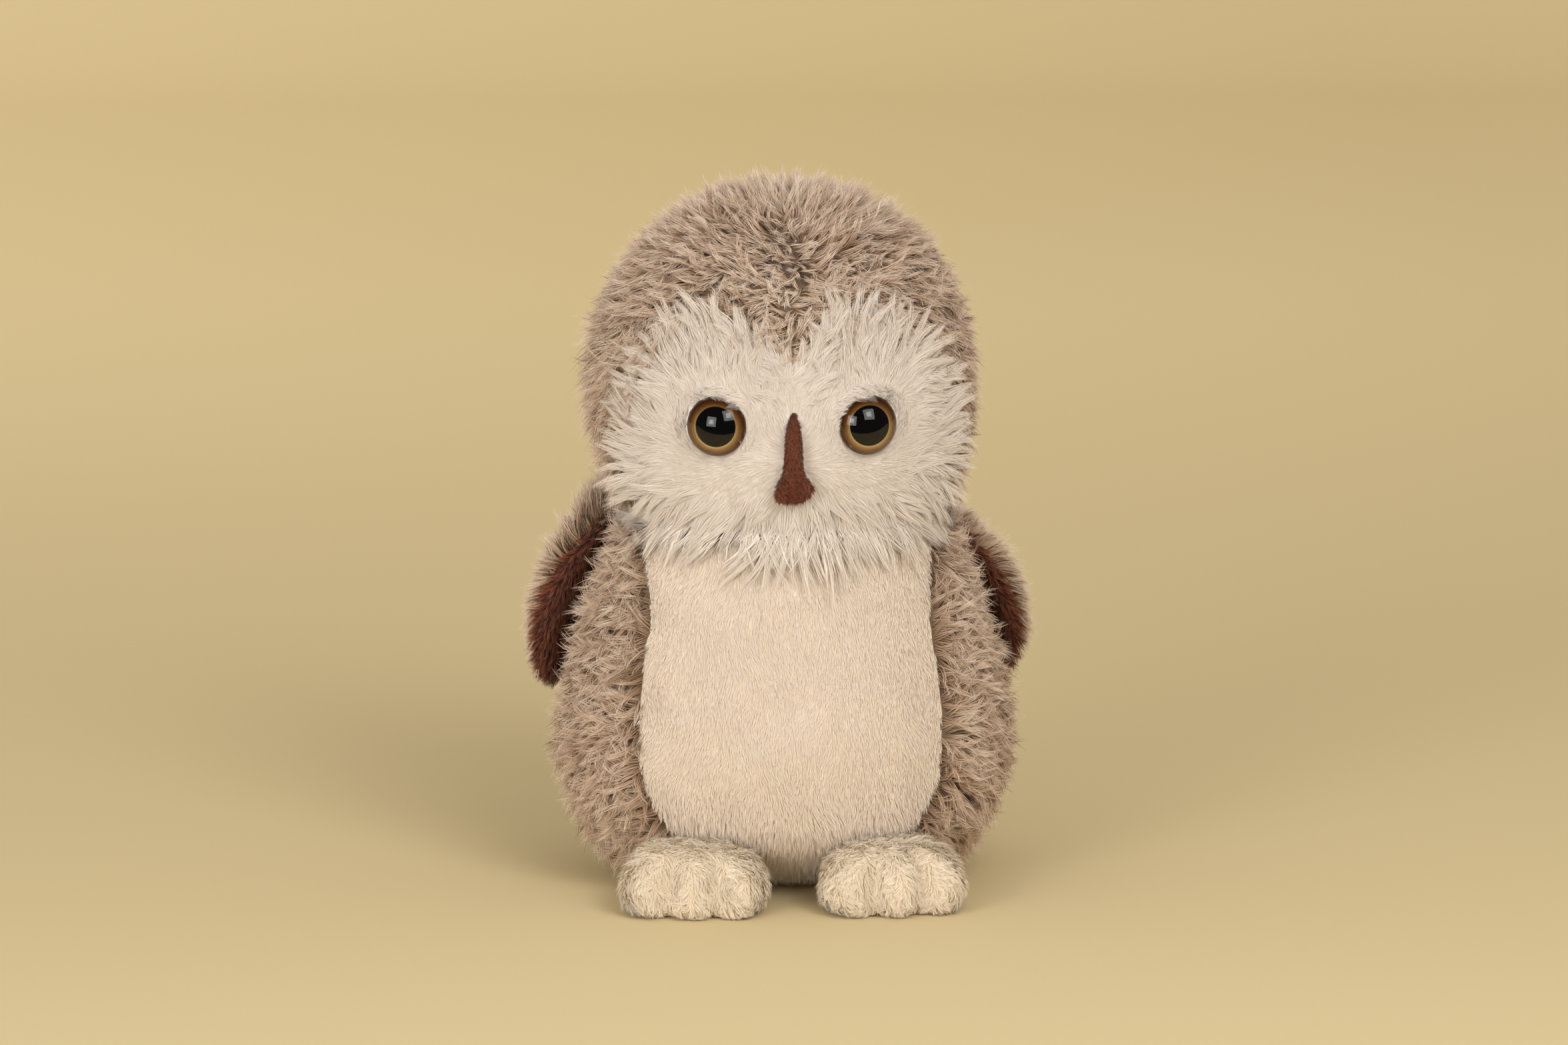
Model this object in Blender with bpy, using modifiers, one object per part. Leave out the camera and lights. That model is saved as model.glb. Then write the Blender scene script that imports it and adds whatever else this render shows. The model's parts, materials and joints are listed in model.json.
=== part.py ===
"""Plush owl: a stuffed toy that stands on its pellet-filled base and two stitched feet.

Metres, +Z up. The face looks along -Y and the origin is on the floor, under the neck's axis.
Left and right are the owl's own, so left is +X.

The toy is built as it is sewn: each soft form is a closed shape that swells and tapers, its fabric
is the outer few millimetres of that shape, cut along the seams into panels, and its filling is what
is left inside. The torso is the largest form, so the feet are cut where they meet it. The wings
turn on the seams at the shoulders, and the head turns on the seam of the neck.
"""
import math

import bmesh
import bpy
from mathutils import Matrix, Vector
from mathutils.bvhtree import BVHTree

# Fabric, seams and clearances
PLUSH_THICKNESS = 0.0024       # backing cloth with the dense foot of the pile
WING_CLOTH_THICKNESS = 0.0015
SEAM_GAP = 0.0003              # between neighbours that touch
FLOOR_CUT = 0.0005             # how far a soft underside is pressed flat
MERGE_DISTANCE = 0.00001       # points closer than this are one point

# Torso: half-widths, and depths in front of and behind the neck's axis
TORSO_HALF_WIDTH = 0.0730
TORSO_FRONT = 0.0620
TORSO_BACK = 0.0610
TORSO_WIDEST_Z = 0.0500
BASE_HALF_WIDTH = 0.0480
BASE_FRONT = 0.0420
BASE_BACK = 0.0430
BASE_PANEL_HEIGHT = 0.0090     # where the base panel's edge turns up the sides
NECK_Z = 0.1260
NECK_HALF_WIDTH = 0.0530
NECK_FRONT = 0.0500
NECK_BACK = 0.0480
SHOULDER_CURVE = 1.3            # exponent of the taper up to the neck, 1 is straight and 2 is round

# Head. Every height on it is measured from the neck's seam.
HEAD_HALF_WIDTH = 0.0600
HEAD_FRONT = 0.0570
HEAD_BACK = 0.0550
HEAD_WIDEST_HEIGHT = 0.0440
HEAD_HEIGHT = 0.1060
CROWN_FULLNESS = 2.3           # exponent of the crown's curve, 2 is round and more is squarer

# Face panel: two lobes over the eyes with a notch between them
FACE_HALF_WIDTH = 0.0510
FACE_FOOT_HALF_WIDTH = 0.0400
FACE_WIDEST_HEIGHT = 0.0320
LOBE_CENTRE_X = 0.0260
LOBE_RISE = 0.0080             # above the notch
NOTCH_HEIGHT = 0.0580

# Belly panel, with a tongue that runs down between the feet
BELLY_HALF_WIDTH = 0.0500
BELLY_TOP_HALF_WIDTH = 0.0405
BELLY_WIDEST_Z = 0.0540
BELLY_FOOT_Z = 0.0220
BELLY_CORNER_X = 0.0380
BELLY_CORNER_RISE = 0.0040     # the corner over each foot stands this far above the tongue's root
TONGUE_HALF_WIDTH = 0.0150

# Safety eyes
EYE_DIAMETER = 0.0200
EYE_SPACING = 0.0500
EYE_HEIGHT = 0.0370
EYE_TURN = math.radians(17)    # each eye looks this far outward
EYE_SINK = 0.0010              # how far the flange presses into the plush
FLANGE_THICKNESS = 0.0018
IRIS_THICKNESS = 0.0006
IRIS_MARGIN = 0.0008           # rim left round the painted disc
LENS_EDGE = 0.0008
LENS_DOME = 0.0055
POST_DIAMETER = 0.0046
POST_LENGTH = 0.0130
POST_RIDGE = 0.0004
POST_CHAMFER = 0.0008
POST_RIDGES = 4
WASHER_DIAMETER = 0.0170
WASHER_THICKNESS = 0.0012
WASHER_COLLAR = 0.0014
FABRIC_UNDER_WASHER = 0.0016   # plush squeezed between flange and washer

# Beak: a folded strip, narrow above and flared at its tip
BEAK_LENGTH = 0.0300
BEAK_TIP_HEIGHT = 0.0130
BEAK_TOP_HALF_WIDTH = 0.0023
BEAK_HALF_WIDTH = 0.0034
BEAK_TIP_HALF_WIDTH = 0.0066
BEAK_DEPTH = 0.0060

# Feet: plush pads with three toes, sewn under the front of the torso
FOOT_HALF_WIDTH = 0.0240
FOOT_LENGTH = 0.0440
FOOT_HEIGHT = 0.0225
FOOT_CENTRE_X = 0.0325
FOOT_FRONT_Y = -0.0750
FOOT_SPLAY = math.radians(6)
SOLE_HEIGHT = 0.0055
TOE_GROOVE = 0.0110            # how far each of the two stitches pulls the front edge in
TOE_SETBACK = 0.0030           # how far the outer toes stand behind the middle one
# Up the foot: (share of its height, share of its plan, share of the stitches' pull)
FOOT_RINGS = ((0.14, 0.97, 0.9), (0.45, 1.0, 1.0), (0.78, 0.88, 1.0), (0.98, 0.55, 0.6))

# Wings: leaf-shaped pads that hang from a seam on each shoulder
WING_LENGTH = 0.0620
WING_HALF_WIDTH = 0.0235
WING_ROOT_HALF_WIDTH = 0.0130
WING_WIDEST = 0.5              # share of the length below the seam
WING_HALF_THICKNESS = 0.0040
WING_ROOT_RADIUS = 0.0024      # rolled edge that the seam holds
WING_ROOT_SINK = {             # how far the seam draws that edge into the torso's pile
    "left": 0.0003,
    "right": 0.0002,
}
WING_SEAM_Y = 0.0120
WING_CAMBER = 0.0075           # how far the wing bows outward over the torso's side
WING_LIFT = math.radians(6)    # stands off the torso's side by this angle
WING_YAW = math.radians(22)    # front edge turned outward
# Sewn by hand: the right wing sits higher, and the left one is swept back.
WING_SEAM_Z = {"left": 0.1185, "right": 0.1205}
WING_SWEEP = {"left": math.radians(13), "right": math.radians(-4)}

# Pellet bag inside the torso's base
BAG_HALF_WIDTH = 0.0370
BAG_HALF_DEPTH = 0.0330
BAG_HEIGHT = 0.0220

SIDES = {"left": 1, "right": -1}
PIVOT_MARK = 0.01              # how large the empties on the joints are drawn
CAGE_COLUMNS = 12
WING_COLUMNS = 8
REACH = 0.3                    # cutters reach this far past the toy
PANEL_OVERRUN = 0.01           # the face and belly outlines run this far past the neck's seam
PANEL_REACH = 0.005            # the front panels stay this far in front of the neck's axis

HEAD_WIDEST_Z = NECK_Z + HEAD_WIDEST_HEIGHT
CROWN_Z = NECK_Z + HEAD_HEIGHT
FACE_WIDEST_Z = NECK_Z + FACE_WIDEST_HEIGHT
NOTCH_Z = NECK_Z + NOTCH_HEIGHT
LOBE_TOP_Z = NOTCH_Z + LOBE_RISE
EYE_Z = NECK_Z + EYE_HEIGHT
BEAK_TIP_Z = NECK_Z + BEAK_TIP_HEIGHT
BEAK_TOP_Z = BEAK_TIP_Z + BEAK_LENGTH

COLOURS = {
    "grey_brown_plush": ((0.30, 0.235, 0.18), 0.95),
    "white_plush": ((0.82, 0.76, 0.67), 0.95),
    "cream_plush": ((0.80, 0.68, 0.52), 0.95),
    "brown_velboa": ((0.125, 0.042, 0.026), 0.9),
    "polyester_fibre": ((0.85, 0.85, 0.85), 1.0),
    "cotton_bag": ((0.75, 0.70, 0.60), 0.9),
    "clear_acrylic": ((0.9, 0.9, 0.9), 0.05),
    "gold_paint": ((0.55, 0.30, 0.09), 0.3),
    "black_plastic": ((0.02, 0.02, 0.02), 0.35),
    "white_plastic": ((0.8, 0.8, 0.8), 0.45),
}


for leftover in list(bpy.data.objects):
    bpy.data.objects.remove(leftover, do_unlink=True)
OWL = bpy.data.collections.new("plush_owl")
CUTTERS = bpy.data.collections.new("cutters")
bpy.context.scene.collection.children.link(OWL)
bpy.context.scene.collection.children.link(CUTTERS)


def material(name):
    """The named finish, made the first time it is asked for."""
    if name in bpy.data.materials:
        return bpy.data.materials[name]
    colour, roughness = COLOURS[name]
    made = bpy.data.materials.new(name)
    made.use_nodes = True
    shader = made.node_tree.nodes["Principled BSDF"]
    shader.inputs["Base Color"].default_value = (*colour, 1.0)
    shader.inputs["Roughness"].default_value = roughness
    shader.inputs["Metallic"].default_value = 0.0
    if name == "clear_acrylic":
        shader.inputs["Transmission Weight"].default_value = 1.0
        shader.inputs["IOR"].default_value = 1.49
    return made


def tool(name, mesh):
    """A shape that others are cut from or cut by. It isn't part of the toy."""
    shape = bpy.data.objects.new(name, mesh)
    shape.display_type = "WIRE"
    shape.hide_render = True
    CUTTERS.objects.link(shape)
    return shape


def settled_mesh(shape):
    """The mesh that the shape's modifiers make."""
    bpy.context.view_layer.update()
    evaluated = shape.evaluated_get(bpy.context.evaluated_depsgraph_get())
    return bpy.data.meshes.new_from_object(evaluated)


def carved(name, base, steps):
    """A copy of base with one exact Boolean for each (operation, cutter) step."""
    shape = tool(name, base.data.copy())
    for operation, cutter in steps:
        boolean = shape.modifiers.new(cutter.name, "BOOLEAN")
        boolean.operation = operation
        boolean.object = cutter
    shape.data = settled_mesh(shape)
    shape.modifiers.clear()
    return shape


def offset(name, base, distance):
    """A copy of base grown, or shrunk where distance is negative, along its own normals."""
    shape = tool(name, base.data.copy())
    push = shape.modifiers.new("Push", "DISPLACE")
    push.mid_level = 0.0
    push.strength = distance
    shape.data = settled_mesh(shape)
    shape.modifiers.clear()
    return shape


def block(name, low, high):
    """A box between two corners."""
    bm = bmesh.new()
    bmesh.ops.create_cube(bm, size=1.0)
    size = Vector(high) - Vector(low)
    middle = (Vector(high) + Vector(low)) / 2
    bmesh.ops.scale(bm, vec=size, verts=bm.verts)
    bmesh.ops.translate(bm, vec=middle, verts=bm.verts)
    mesh = bpy.data.meshes.new(name)
    bm.to_mesh(mesh)
    bm.free()
    return tool(name, mesh)


def soft_form(name, rings, columns, box):
    """A closed soft shape: a coarse cage, one level of Subdivision, brought out to its real box.

    rings run from the lowest point to the highest. The first and last are (height,), and each of
    the others is (height, outline). columns has one entry for each upright line of the cage,
    counter-clockwise from +X, and outline(entry) gives that line's x and y. box holds the finished
    shape's low and high corners, with None for an axis that stays as the cage left it.
    """
    bm = bmesh.new()
    last = len(rings) - 1
    bmesh.ops.create_uvsphere(bm, u_segments=len(columns), v_segments=last, radius=1.0)
    for vertex in bm.verts:
        level = round((1 - math.acos(max(-1, min(1, vertex.co.z))) / math.pi) * last)
        turn = math.atan2(vertex.co.y, vertex.co.x) / (2 * math.pi)
        column = columns[round(turn * len(columns)) % len(columns)]
        height, *outline = rings[level]
        x, y = outline[0](column) if outline else (0.0, 0.0)
        vertex.co = (x, y, height)
    bmesh.ops.recalc_face_normals(bm, faces=bm.faces)
    mesh = bpy.data.meshes.new(name)
    bm.to_mesh(mesh)
    bm.free()
    shape = tool(name, mesh)
    smooth = shape.modifiers.new("Smooth", "SUBSURF")
    smooth.levels = 1
    smooth.render_levels = 1
    shape.data = settled_mesh(shape)
    shape.modifiers.clear()
    for axis, (low, high) in enumerate(zip(*box)):
        if low is None:
            continue
        places = [vertex.co[axis] for vertex in shape.data.vertices]
        stretch = (high - low) / (max(places) - min(places))
        for vertex in shape.data.vertices:
            vertex.co[axis] = low + (vertex.co[axis] - min(places)) * stretch
    return shape


def oval(half_width, front, back, centre=(0.0, 0.0)):
    """An outline of two half ellipses that share their width."""
    def outline(angle):
        depth = back if math.sin(angle) > 0 else front
        return centre[0] + half_width * math.cos(angle), centre[1] + depth * math.sin(angle)
    return outline


def even_columns(count):
    """Angles for the cage lines of an oval form."""
    return [2 * math.pi * step / count for step in range(count)]


def between(start, end, share):
    """The value this share of the way from start to end."""
    return start + (end - start) * share


def prism(name, points, back_y, front_y, smooth=True):
    """A block along Y with this outline in X and Z. On a smooth one, a point at X 0 is a corner."""
    curve = bpy.data.curves.new(name, "CURVE")
    curve.dimensions = "2D"
    curve.fill_mode = "BOTH"
    curve.extrude = (back_y - front_y) / 2
    curve.resolution_u = 4
    if smooth:
        spline = curve.splines.new("BEZIER")
        spline.bezier_points.add(len(points) - 1)
        for knot, (x, z) in zip(spline.bezier_points, points):
            knot.co = (x, z, 0.0)
            knot.handle_left_type = "AUTO" if x else "VECTOR"
            knot.handle_right_type = knot.handle_left_type
    else:
        spline = curve.splines.new("POLY")
        spline.points.add(len(points) - 1)
        for knot, (x, z) in zip(spline.points, points):
            knot.co = (x, z, 0.0, 1.0)
    spline.use_cyclic_u = True
    drawn = bpy.data.objects.new(name + "_outline", curve)
    drawn.location = (0.0, (back_y + front_y) / 2, 0.0)
    drawn.rotation_euler = (math.pi / 2, 0.0, 0.0)
    CUTTERS.objects.link(drawn)
    mesh = settled_mesh(drawn)
    mesh.transform(drawn.matrix_world)
    bpy.data.objects.remove(drawn, do_unlink=True)
    bm = bmesh.new()
    bm.from_mesh(mesh)
    bmesh.ops.remove_doubles(bm, verts=bm.verts, dist=MERGE_DISTANCE)
    bmesh.ops.recalc_face_normals(bm, faces=bm.faces)
    bm.to_mesh(mesh)
    bm.free()
    return tool(name, mesh)


def both_sides(points):
    """An outline given down +X, with its mirror image on -X."""
    return points + [(-x, z) for x, z in reversed(points) if x > 0]


def turned(name, profile, steps, closed=False):
    """A turned shape on Z. An open profile runs from the axis, down its outside, to the axis."""
    edges = [(index, index + 1) for index in range(len(profile) - 1)]
    if closed:
        edges.append((len(profile) - 1, 0))
    mesh = bpy.data.meshes.new(name)
    mesh.from_pydata([(radius, 0.0, height) for radius, height in profile], edges, [])
    shape = tool(name, mesh)
    screw = shape.modifiers.new("Turn", "SCREW")
    screw.axis = "Z"
    screw.steps = steps
    screw.render_steps = steps
    screw.use_merge_vertices = True
    screw.merge_threshold = MERGE_DISTANCE
    shape.data = settled_mesh(shape)
    shape.modifiers.clear()
    return shape


def surface(shape, start, direction):
    """Where a line from start first meets the shape, and the surface's normal there."""
    tree = BVHTree.FromPolygons(
        [vertex.co for vertex in shape.data.vertices],
        [face.vertices for face in shape.data.polygons],
    )
    place, normal, _, _ = tree.ray_cast(Vector(start), Vector(direction))
    return place, normal


def add_part(name, shape, finish, parent=None, place=Matrix()):
    """Makes the shape a named piece of the toy. place is relative to the parent."""
    mesh = shape.data.copy()
    mesh.name = name
    mesh.materials.clear()
    mesh.materials.append(material(finish))
    mesh.shade_smooth()
    mesh.set_sharp_from_angle(angle=math.radians(40))
    piece = bpy.data.objects.new(name, mesh)
    OWL.objects.link(piece)
    piece.parent = parent
    piece.matrix_local = place
    return piece


def add_pivot(name, place):
    """An empty on a joint's axis, which carries the pieces that move with it."""
    pivot = bpy.data.objects.new(name, None)
    pivot.empty_display_size = PIVOT_MARK
    pivot.matrix_local = place
    OWL.objects.link(pivot)
    return pivot


def torso_ring(z):
    """The torso's section at a height: a taper up to the neck and a parabola down to the base."""
    full = (TORSO_HALF_WIDTH, TORSO_FRONT, TORSO_BACK)
    neck = (NECK_HALF_WIDTH, NECK_FRONT, NECK_BACK)
    base = (BASE_HALF_WIDTH, BASE_FRONT, BASE_BACK)
    if z > TORSO_WIDEST_Z:
        end = neck
        share = ((z - TORSO_WIDEST_Z) / (NECK_Z - TORSO_WIDEST_Z)) ** SHOULDER_CURVE
    else:
        end = base
        share = ((TORSO_WIDEST_Z - z) / TORSO_WIDEST_Z) ** 2
    return z, oval(*(between(wide, small, share) for wide, small in zip(full, end)))


def hidden_outline():
    """The small ring that closes the torso or the head beyond the neck's seam."""
    return oval(0.6 * NECK_HALF_WIDTH, 0.6 * NECK_FRONT, 0.6 * NECK_BACK)


def make_torso_form():
    """The whole torso, closed a little way above the neck and below the floor."""
    hidden_top = NECK_Z + 0.2 * (NECK_Z - TORSO_WIDEST_Z)
    heights = [between(0.0, TORSO_WIDEST_Z, share) for share in (0.10, 0.34, 0.66, 1.0)]
    heights += [between(TORSO_WIDEST_Z, NECK_Z, share) for share in (0.3, 0.56, 0.8, 1.03)]
    rings = [(-FLOOR_CUT,)]
    for share in (0.45, 0.86):
        rings.append((-FLOOR_CUT, oval(share * BASE_HALF_WIDTH, share * BASE_FRONT, share * BASE_BACK)))
    rings += [torso_ring(z) for z in heights]
    rings += [(hidden_top, hidden_outline()), (hidden_top,)]
    box = ((-TORSO_HALF_WIDTH, -TORSO_FRONT, -FLOOR_CUT), (TORSO_HALF_WIDTH, TORSO_BACK, hidden_top))
    return soft_form("torso_form", rings, even_columns(CAGE_COLUMNS), box)


def head_ring(z):
    """The head's section at a height: a parabola down to the neck and a full curve to the crown."""
    full = (HEAD_HALF_WIDTH, HEAD_FRONT, HEAD_BACK)
    if z > HEAD_WIDEST_Z:
        rise = (z - HEAD_WIDEST_Z) / (CROWN_Z - HEAD_WIDEST_Z)
        shrink = (1 - rise ** CROWN_FULLNESS) ** (1 / CROWN_FULLNESS)
        return z, oval(*(size * shrink for size in full))
    neck = (NECK_HALF_WIDTH, NECK_FRONT, NECK_BACK)
    share = ((HEAD_WIDEST_Z - z) / (HEAD_WIDEST_Z - NECK_Z)) ** 2
    return z, oval(*(between(wide, small, share) for wide, small in zip(full, neck)))


def make_head_form():
    """The whole head, closed a little way below the neck."""
    hidden_foot = NECK_Z - 0.35 * (HEAD_WIDEST_Z - NECK_Z)
    heights = [between(NECK_Z, HEAD_WIDEST_Z, share) for share in (-0.04, 0.36, 0.7, 1.0)]
    heights += [between(HEAD_WIDEST_Z, CROWN_Z, share) for share in (0.3, 0.58, 0.8, 0.95)]
    rings = [(hidden_foot,), (hidden_foot, hidden_outline())]
    rings += [head_ring(z) for z in heights] + [(CROWN_Z,)]
    box = ((-HEAD_HALF_WIDTH, -HEAD_FRONT, hidden_foot), (HEAD_HALF_WIDTH, HEAD_BACK, CROWN_Z))
    return soft_form("head_form", rings, even_columns(CAGE_COLUMNS), box)


def rooms_at(name, height):
    """The room below a level seam, down to the floor, and the room above it."""
    return (
        block(f"{name}_below", (-REACH, -REACH, 0.0), (REACH, REACH, height)),
        block(f"{name}_above", (-REACH, -REACH, height + SEAM_GAP), (REACH, REACH, REACH)),
    )


def make_halves():
    """Blocks for the left and right of the middle seam, each half a gap away from it."""
    return {
        side: block(
            f"{side}_half",
            (SEAM_GAP / 2 if sign > 0 else -REACH, -REACH, -REACH),
            (REACH if sign > 0 else -SEAM_GAP / 2, REACH, REACH),
        )
        for side, sign in SIDES.items()
    }


def make_belly_prism():
    """The belly panel's outline: widest low down, with corners over the feet and a tongue between."""
    foot_z = BASE_PANEL_HEIGHT / 2
    over_neck = NECK_Z + PANEL_OVERRUN
    points = [
        (BELLY_TOP_HALF_WIDTH, over_neck),
        (between(BELLY_TOP_HALF_WIDTH, BELLY_HALF_WIDTH, 0.6), between(NECK_Z, BELLY_WIDEST_Z, 0.45)),
        (BELLY_HALF_WIDTH, BELLY_WIDEST_Z),
        (between(BELLY_HALF_WIDTH, BELLY_CORNER_X, 0.35), between(BELLY_WIDEST_Z, BELLY_FOOT_Z, 0.6)),
        (BELLY_CORNER_X, BELLY_FOOT_Z + BELLY_CORNER_RISE),
        (between(TONGUE_HALF_WIDTH, BELLY_CORNER_X, 0.35), BELLY_FOOT_Z),
        (TONGUE_HALF_WIDTH, between(BELLY_FOOT_Z, foot_z, 0.4)),
        (TONGUE_HALF_WIDTH, foot_z),
    ]
    return prism("belly_outline", both_sides(points), -PANEL_REACH, -REACH)


def make_face_prism():
    """The face panel's outline: two lobes with a notch, narrower again at the neck."""
    under_neck = NECK_Z - PANEL_OVERRUN
    points = [
        (0.0, NOTCH_Z),
        (LOBE_CENTRE_X / 2, between(NOTCH_Z, LOBE_TOP_Z, 0.7)),
        (LOBE_CENTRE_X, LOBE_TOP_Z),
        (between(LOBE_CENTRE_X, FACE_HALF_WIDTH, 0.65), between(LOBE_TOP_Z, FACE_WIDEST_Z, 0.3)),
        (FACE_HALF_WIDTH, FACE_WIDEST_Z),
        (between(FACE_HALF_WIDTH, FACE_FOOT_HALF_WIDTH, 0.45), between(FACE_WIDEST_Z, NECK_Z, 0.6)),
        (FACE_FOOT_HALF_WIDTH, under_neck),
    ]
    return prism("face_outline", both_sides(points), -PANEL_REACH, -REACH)


def eye_frame(side, head_form):
    """Where an eye's flange rests on the face, with local Z pointing out of the face."""
    sign = SIDES[side]
    x = sign * EYE_SPACING / 2
    seat, _ = surface(head_form, (x, -REACH, EYE_Z), (0.0, 1.0, 0.0))
    look = Vector((sign * math.sin(EYE_TURN), -math.cos(EYE_TURN), 0.0))
    return Matrix.Translation(seat - look * EYE_SINK) @ look.to_track_quat("Z", "Y").to_matrix().to_4x4()


def washer_face():
    """How far behind the flange the locking washer's front lies."""
    return FABRIC_UNDER_WASHER + SEAM_GAP


def moved(shape, place):
    """The same shape, with its mesh moved to a place."""
    shape.data.transform(place)
    return shape


def make_eye_seat(side, frame):
    """What the face panel loses for an eye: the flange's seat, the post's hole, the washer's seat."""
    eye = EYE_DIAMETER / 2 + SEAM_GAP
    hole = POST_DIAMETER / 2 + POST_RIDGE + SEAM_GAP
    washer = WASHER_DIAMETER / 2 + SEAM_GAP
    deep = -2 * PLUSH_THICKNESS - FABRIC_UNDER_WASHER
    profile = [
        (0.0, LENS_DOME),
        (eye, LENS_DOME),
        (eye, -SEAM_GAP),
        (hole, -SEAM_GAP),
        (hole, -SEAM_GAP - FABRIC_UNDER_WASHER),
        (washer, -SEAM_GAP - FABRIC_UNDER_WASHER),
        (washer, deep),
        (0.0, deep),
    ]
    return moved(turned(f"eye_seat_{side}", profile, 24), frame)


def make_eye_room(side, frame):
    """What the head's filling loses for an eye: the washer with its collar, and the post."""
    washer = WASHER_DIAMETER / 2 + SEAM_GAP
    collar = POST_DIAMETER / 2 + POST_RIDGE + WASHER_COLLAR + 2 * SEAM_GAP
    washer_back = -washer_face() - WASHER_THICKNESS - 2 * SEAM_GAP
    post_end = -POST_LENGTH - SEAM_GAP
    profile = [
        (0.0, LENS_DOME),
        (washer, LENS_DOME),
        (washer, washer_back),
        (collar, washer_back),
        (collar, post_end),
        (0.0, post_end),
    ]
    return moved(turned(f"eye_room_{side}", profile, 24), frame)


def add_eye(side, frame, head_pivot, head_place):
    """Post with flange, painted disc, clear lens and locking washer, all on one axis."""
    radius = EYE_DIAMETER / 2
    place = head_place @ frame
    post = POST_DIAMETER / 2
    ridge = post + POST_RIDGE
    recess = FLANGE_THICKNESS - IRIS_THICKNESS - SEAM_GAP
    iris_radius = radius - IRIS_MARGIN

    profile = [(0.0, recess), (iris_radius + SEAM_GAP, recess), (iris_radius + SEAM_GAP, FLANGE_THICKNESS)]
    profile += [(radius, FLANGE_THICKNESS), (radius, 0.0), (post, 0.0)]
    pitch = (POST_LENGTH - FLANGE_THICKNESS) / (POST_RIDGES + 1)
    for turn in range(1, POST_RIDGES + 1):
        height = -turn * pitch
        profile += [(post, height + pitch / 4), (ridge, height), (post, height - pitch / 8)]
    profile += [(post, POST_CHAMFER - POST_LENGTH), (post - POST_CHAMFER, -POST_LENGTH), (0.0, -POST_LENGTH)]
    add_part(f"eye_post_{side}", turned("eye_post", profile, 14), "black_plastic", head_pivot, place)

    iris_low = recess + SEAM_GAP
    profile = [(0.0, FLANGE_THICKNESS), (iris_radius, FLANGE_THICKNESS)]
    profile += [(iris_radius, iris_low), (0.0, iris_low)]
    add_part(f"eye_iris_{side}", turned("eye_iris", profile, 24), "gold_paint", head_pivot, place)

    lens_back = FLANGE_THICKNESS + SEAM_GAP
    profile = [
        (radius * math.sin(turn), lens_back + LENS_EDGE + LENS_DOME * math.cos(turn))
        for turn in (math.pi / 2 * step / 6 for step in range(7))
    ]
    profile += [(radius, lens_back), (0.0, lens_back)]
    profile[0] = (0.0, profile[0][1])
    add_part(f"eye_lens_{side}", turned("eye_lens", profile, 24), "clear_acrylic", head_pivot, place)

    bore = ridge + SEAM_GAP
    front = -washer_face()
    back = front - WASHER_THICKNESS
    profile = [
        (bore, front),
        (WASHER_DIAMETER / 2, front),
        (WASHER_DIAMETER / 2, back),
        (bore + WASHER_COLLAR, back),
        (bore + WASHER_COLLAR, back - WASHER_COLLAR),
        (bore, back - WASHER_COLLAR),
    ]
    washer = turned("eye_washer", profile, 20, closed=True)
    add_part(f"eye_washer_{side}", washer, "white_plastic", head_pivot, place)


def add_beak(head_form, head_pivot, head_place):
    """The folded strip down the middle of the face, cut to lie on the head."""
    seat, _ = surface(head_form, (0.0, -REACH, between(BEAK_TOP_Z, BEAK_TIP_Z, 0.5)), (0.0, 1.0, 0.0))

    def ring(share, half_width, depth):
        return between(BEAK_TOP_Z, BEAK_TIP_Z, share), oval(half_width, depth, depth, (0.0, seat.y))

    rings = [
        (BEAK_TIP_Z,),
        ring(0.95, 0.7 * BEAK_TIP_HALF_WIDTH, 0.7 * BEAK_DEPTH),
        ring(0.84, BEAK_TIP_HALF_WIDTH, BEAK_DEPTH),
        ring(0.68, between(BEAK_HALF_WIDTH, BEAK_TIP_HALF_WIDTH, 0.3), BEAK_DEPTH),
        ring(0.46, BEAK_HALF_WIDTH, 0.9 * BEAK_DEPTH),
        ring(0.24, BEAK_TOP_HALF_WIDTH, 0.75 * BEAK_DEPTH),
        ring(0.08, 0.7 * BEAK_TOP_HALF_WIDTH, 0.5 * BEAK_DEPTH),
        (BEAK_TOP_Z,),
    ]
    box = (
        (-BEAK_TIP_HALF_WIDTH, seat.y - BEAK_DEPTH, BEAK_TIP_Z),
        (BEAK_TIP_HALF_WIDTH, seat.y + BEAK_DEPTH, BEAK_TOP_Z),
    )
    form = soft_form("beak_form", rings, even_columns(8), box)
    beak = carved("beak_cut", form, [("DIFFERENCE", offset("head_and_gap", head_form, SEAM_GAP))])
    add_part("beak", beak, "brown_velboa", head_pivot, head_place)


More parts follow.
